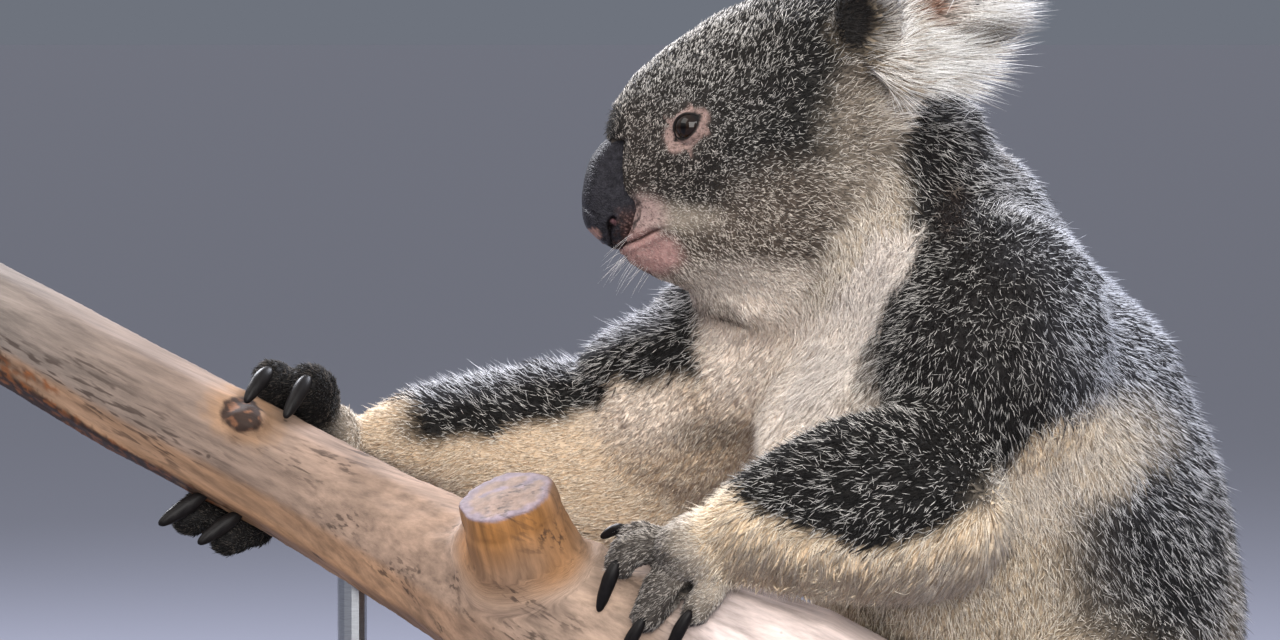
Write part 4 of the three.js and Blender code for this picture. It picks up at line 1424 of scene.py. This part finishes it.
# The saw cut is flat with a crisp rim, so the rounded end is pushed out to a short cylinder.
wood_co = read(wood_mesh)
up, away, angle = round_the_stub(wood_co)
by_stub = (away < 32) & (up > 12)
TOP = up[by_stub].max()
BASE = TOP - 14
belt = by_stub & (np.abs(up - BASE) < 2.5)
outline = np.linalg.lstsq(waves(angle[belt]), away[belt], rcond=None)[0]
rim = waves(angle) @ outline * (1 + 0.03 * np.sin(5 * angle) + 0.02 * np.sin(9 * angle))
squareness = np.maximum(away / rim, (up - BASE) / (TOP - BASE))
centre = STUB_FOOT + STUB_AXIS * BASE * MM
sharp = centre + (wood_co - centre) / np.maximum(squareness, 0.5)[:, None]
amount = (0.7 * by_stub * ease(0, 4, up - BASE))[:, None]
wood_co = wood_co * (1 - amount) + sharp * amount
print("stub top at", round(float(TOP), 1), "mm")

# %% The stub's flare, and ripples of the wood
# The stub widens to a flare at its foot, and its top is a little wider than its middle.
up, away, angle = round_the_stub(wood_co)
from_axis = unit(wood_co - STUB_FOOT - STUB_AXIS * ((wood_co - STUB_FOOT) @ STUB_AXIS)[:, None])
flare = 5.0 * ease(-14, 4, up) * ease(30, 8, up) * ease(42, 26, away)
flare += 0.13 * away * ease(14, 30, up) * ease(34, 30, away)
wood_co += MM * flare[:, None] * from_axis
wood_co += MM * (4.5 * ease(4, 28, up) * ease(40, 30, away))[:, None] * STUB_AXIS
write(wood_mesh, wood_co)
wood_co, wood_normal = read(wood_mesh), read(wood_mesh, "normal")
up, away, angle = round_the_stub(wood_co)
on_top = (away < 32) * ease(TOP + 2.4, TOP + 3.8, up)
on_stub = ease(36, 27, away) * ease(-6, 12, up)
along_branch = wood_co - GRAIN * (wood_co @ GRAIN * 0.93)[:, None]
along_stub = wood_co - STUB_AXIS * (wood_co @ STUB_AXIS * 0.9)[:, None]
flow = along_branch * (1 - on_stub[:, None]) + along_stub * on_stub[:, None]
ripple = np.array([noise.noise(Vector(p * 45)) + 0.5 * noise.noise(Vector(p * 130)) for p in flow])
ripple = ripple * (0.9 - 0.4 * on_top)
write(wood_mesh, wood_co + wood_normal * (ripple * MM)[:, None])

# %% Tones of the wood
wood_local = (wood_co - BROW) / MM
patchy = np.array([noise.noise(Vector(p * 38)) for p in wood_co])
fine_patchy = np.array([noise.noise(Vector(p * 260)) for p in wood_co])
# The branch's tones at places along it (y in millimetres). It is browner and darker to the left and
# pale to the right: partly the wood's own tone, partly painted light and shade.
LENGTHWISE = {-340: "#655c56", -230: "#716055", -130: "#826c5d"}
LENGTHWISE |= {-20: "#907b6b", 10: "#c0b0aa", 340: "#b0a199"}
tone_rows = np.array([linear(code) for code in LENGTHWISE.values()])
wood_tone = np.stack(
    [np.interp(wood_local[:, 1], list(LENGTHWISE), channel) for channel in tone_rows.T], 1
)
down = wood_normal @ unit(np.array([0, -0.466, -0.885]))
bark_edge = np.interp(wood_local[:, 1], [-335, -290, -240, -190], [0.5, 0.68, 0.9, 1.15])
bark = ease(-0.04, 0.06, down - bark_edge + 0.1 * patchy + 0.08 * fine_patchy)
KNOT_TURN = np.array([[0.9, 0.42], [-0.42, 0.9]])
knot_off = (wood_local[:, 1:] - [-214.5, -138]) @ KNOT_TURN / [11.5, 8.0]
knot_ring = np.linalg.norm(knot_off, axis=1) + 0.3 * fine_patchy + 9 * (wood_local[:, 0] < 0)
rim = waves(angle) @ outline
cut_rim = on_top * ease(-4.5, -1.5, away - rim + 2.5 * fine_patchy)
blots = np.array([noise.noise(Vector(p * 120 + (0, 3, 0))) for p in wood_co])
stains = on_top * ease(0.12, 0.3, blots)
# Each mark is a mask and its tone: warm underside, stub, knot and its ring, bark, saw cut.
wood_marks = [
    (ease(0.2, 0.75, down) * ease(-60, -160, wood_local[:, 1]) * 0.6, "#a87d55"),
    (on_stub * (0.7 + 0.5 * patchy) * ease(-12, 8, up), "#83592f"),
    ((1 - ease(1.0, 2.2, knot_ring)) * 0.7, "#84654a"),
    (1 - ease(0.8, 1.05, knot_ring), "#2a1b13"),
    ((1 - ease(0.7, 0.95, knot_ring)) * ease(0.0, 0.25, fine_patchy), "#6a4630"),
    (bark, "#3a281d"),
    (bark * ease(0.05, 0.3, fine_patchy), "#7c4c2b"),
    (on_top, "#786255"),
    (np.maximum(cut_rim, stains) * 0.85, "#6c5f69"),
]
for mask, code in wood_marks:
    mask = np.clip(mask, 0, 1)[:, None]
    wood_tone = wood_tone * (1 - mask) + linear(code) * mask
wood_tone *= (1 + 0.25 * patchy)[:, None]
give_colours(wood_mesh, "wood", wood_tone)
grain_way = wood_mesh.attributes.new("grain", "FLOAT_VECTOR", "POINT")
grain_way.data.foreach_set("vector", flow.astype(np.float32).ravel())
smooth_shaded(wood_mesh)
wood = as_object(wood_mesh, "branch")
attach(wood, "root")
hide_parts("perch_branch")
print("branch:", len(triangles(wood_mesh)), "triangles")

# %% Weathered wood
# Bare eucalypt: matt, streaked along the grain every 4.5 mm, with the tones painted on the piece.
bleached, tree, shader = new_material("weathered eucalypt")
along = add(tree, "ShaderNodeAttribute", attribute_name="grain").outputs["Vector"]
noise_inputs = {"Scale": apart(4.545), "Detail": 6.0, "Roughness": 0.65}
streaked, streaks = mottled(tree, "wood", along, noise_inputs, 0.6, 1.35)
where = add(tree, "ShaderNodeTexCoord").outputs["Object"]
tilt = math.atan2(-0.466, 0.885)  # of the branch, which the marks on it follow
lined_up = add(tree, "ShaderNodeMapping", {"Vector": where, "Rotation": (-tilt, 0, 0)})

# %% Flecks and pits
# Short dark flecks, two millimetres wide and seven times as long, gather in drifts. They thin
# out on the bare right end. Small pits stand about 20 mm apart.
stretch = {"Vector": lined_up.outputs["Vector"], "Scale": (1, 0.14, 1)}
short_way = add(tree, "ShaderNodeMapping", stretch).outputs["Vector"]
shares = []
for size, low, high in ((2.174, 0.52, 0.62), (16.667, 0.5, 0.64)):
    sizes_in = {"Vector": short_way, "Scale": apart(size), "Detail": 2.0}
    dash = add(tree, "ShaderNodeTexNoise", sizes_in)
    kept = {"Value": dash.outputs["Fac"], **span(low, high)}
    shares.append(add(tree, "ShaderNodeMapRange", kept))
place = add(tree, "ShaderNodeSeparateXYZ", {"Vector": where})
bare_from, bare_to = (float(spot(0, y, 0)[1]) for y in (30, -50))
shares.append(
    add(tree, "ShaderNodeMapRange", {"Value": place.outputs["Y"], **span(bare_from, bare_to, 0.15)})
)
flecks = shares[0].outputs["Result"]
for share in shares[1:]:
    both = {0: flecks, 1: share.outputs["Result"]}
    flecks = add(tree, "ShaderNodeMath", both, operation="MULTIPLY").outputs["Value"]
holes = {"Vector": lined_up.outputs["Vector"], "Scale": apart(20.833)}
holes = add(tree, "ShaderNodeTexVoronoi", holes).outputs["Distance"]
pits = add(tree, "ShaderNodeMapRange", {"Value": holes, **span(0.07, 0.03)}).outputs["Result"]
marks = add(tree, "ShaderNodeMath", {0: flecks, 1: pits}, operation="MAXIMUM").outputs["Value"]
strength = add(tree, "ShaderNodeMath", {0: marks, 1: 0.75}, operation="MULTIPLY").outputs["Value"]
mix = {"Factor": strength, COLOUR_A: streaked, COLOUR_B: rgba("#2d211b")}
mixed = add(tree, "ShaderNodeMix", mix, data_type="RGBA").outputs[MIXED]
ridges = {"Height": streaks, "Strength": 0.5, "Distance": 0.8 * MM}
relief = add(tree, "ShaderNodeBump", ridges).outputs["Normal"]
connect(tree, shader, {"Base Color": mixed, "Normal": relief})
connect(tree, shader, {"Roughness": 0.7, "Specular IOR Level": 0.25})
give(wood, bleached)

# %% [markdown]
# ## The stand
# A museum mount is kept plain: a stained board and two steel rods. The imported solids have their
# final shapes already, so they stay and are only given their finishes.

# %% Board
# Beech: planed and stained, with grain lines 4.5 mm apart that run the board's long way.
board, tree, shader = new_material("stained beech")
where = add(tree, "ShaderNodeTexCoord").outputs["Object"]
long_way = add(tree, "ShaderNodeMapping", {"Vector": where, "Scale": (1, 0.06, 1)})
lines = {"Vector": long_way.outputs["Vector"], "Scale": apart(4.545), "Detail": 6.0}
grain = add(tree, "ShaderNodeTexNoise", lines).outputs["Fac"]
ramp = add(tree, "ShaderNodeValToRGB", {"Fac": grain})
for stop, position, code in zip(ramp.color_ramp.elements, (0.3, 0.7), ("#2b211a", "#584638")):
    stop.position, stop.color = position, rgba(code)
relief = add(tree, "ShaderNodeBump", {"Height": grain, "Strength": 0.2, "Distance": 0.3 * MM})
connect(tree, shader, {"Base Color": ramp.outputs["Color"], "Normal": relief.outputs["Normal"]})
connect(tree, shader, {"Roughness": 0.4})

# %% Rods
# Steel: turned and brushed round the rod, which leaves fine rings about half a millimetre apart.
steel, tree, shader = new_material("brushed steel")
where = add(tree, "ShaderNodeTexCoord").outputs["Object"]
round_way = add(tree, "ShaderNodeMapping", {"Vector": where, "Scale": (0.1, 0.1, 1)})
rings = {"Vector": round_way.outputs["Vector"], "Scale": apart(0.4545), "Detail": 3.0}
brush = add(tree, "ShaderNodeTexNoise", rings)
ramp = add(tree, "ShaderNodeValToRGB", {"Fac": brush.outputs["Fac"]})
for stop, code in zip(ramp.color_ramp.elements, ("#86888a", "#b9bbbd")):
    stop.color = rgba(code)
connect(tree, shader, {"Base Color": ramp.outputs["Color"], "Metallic": 1.0, "Roughness": 0.32})
STAND = {"stand_base": board, "stand_rod_front": steel, "stand_rod_rear": steel}
for node, material in STAND.items():
    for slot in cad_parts[node].material_slots:
        slot.material = material
print("stand finished:", list(STAND))

# %% [markdown]
# ## Floor and light
# A plain grey floor runs into a grey backdrop. One lamp from the camera's side would make the
# coat look flat. So two broad lamps stand high behind the animal, as the fine pale edge on its
# coat needs, and softer ones light it from the front and the side.

# %% Floor
floor_shape = bmesh.new()
bmesh.ops.create_grid(floor_shape, x_segments=1, y_segments=1, size=60)
floor = as_object(as_mesh(floor_shape, "floor"), "floor")
ground, tree, shader = new_material("grey studio floor")
connect(tree, shader, {"Base Color": rgba("#5f616e"), "Roughness": 0.9})
give(floor, ground)

# %% World
# The backdrop is grey at the horizon, where it meets the floor's tone, and pale overhead.
world = bpy.data.worlds.new("grey studio")
world.use_nodes = True
sky = world.node_tree
heading = add(sky, "ShaderNodeTexCoord").outputs["Generated"]
height = add(sky, "ShaderNodeSeparateXYZ", {"Vector": heading}).outputs["Z"]
rise = add(sky, "ShaderNodeMapRange", {"Value": height, **span(0.0, 0.35)}).outputs["Result"]
mix = {"Factor": rise, COLOUR_A: rgba("#6e737d"), COLOUR_B: rgba("#f4f6fa")}
haze = add(sky, "ShaderNodeMix", mix, data_type="RGBA").outputs[MIXED]
connect(sky, sky.nodes["Background"], {"Color": haze, "Strength": 1.0})
scene.world = world


# %% Lamps
# Each lamp has a place and a place to look at (millimetres from the brow), a size in metres, a
# power in watts and a colour.
def lamp(name, place, aim, size, power, colour="#ffffff"):
    light = bpy.data.lights.new(name, "AREA")
    light.shape, light.size, light.energy = "SQUARE", size, power
    light.color = linear(colour)
    lamp_object = bpy.data.objects.new(name, light)
    lamp_object.location = Vector(spot(*place))
    to_lamp = lamp_object.location - Vector(spot(*aim))
    lamp_object.rotation_euler = to_lamp.to_track_quat("Z", "Y").to_euler()
    scene.collection.objects.link(lamp_object)


MIDDLE = (20, 60, -120)  # of the animal
lamp("rim", (-1400, -1000, 1200), MIDDLE, 1.0, 100, "#f6f7ff")
lamp("back", (-900, 1300, 1500), MIDDLE, 1.0, 110, "#eef2ff")
lamp("key", (900, -1500, 1500), MIDDLE, 1.6, 30, "#fffaf4")
lamp("fill", (2400, 300, 700), MIDDLE, 1.8, 88, "#fffdfa")
scene.view_settings.view_transform = "Standard"
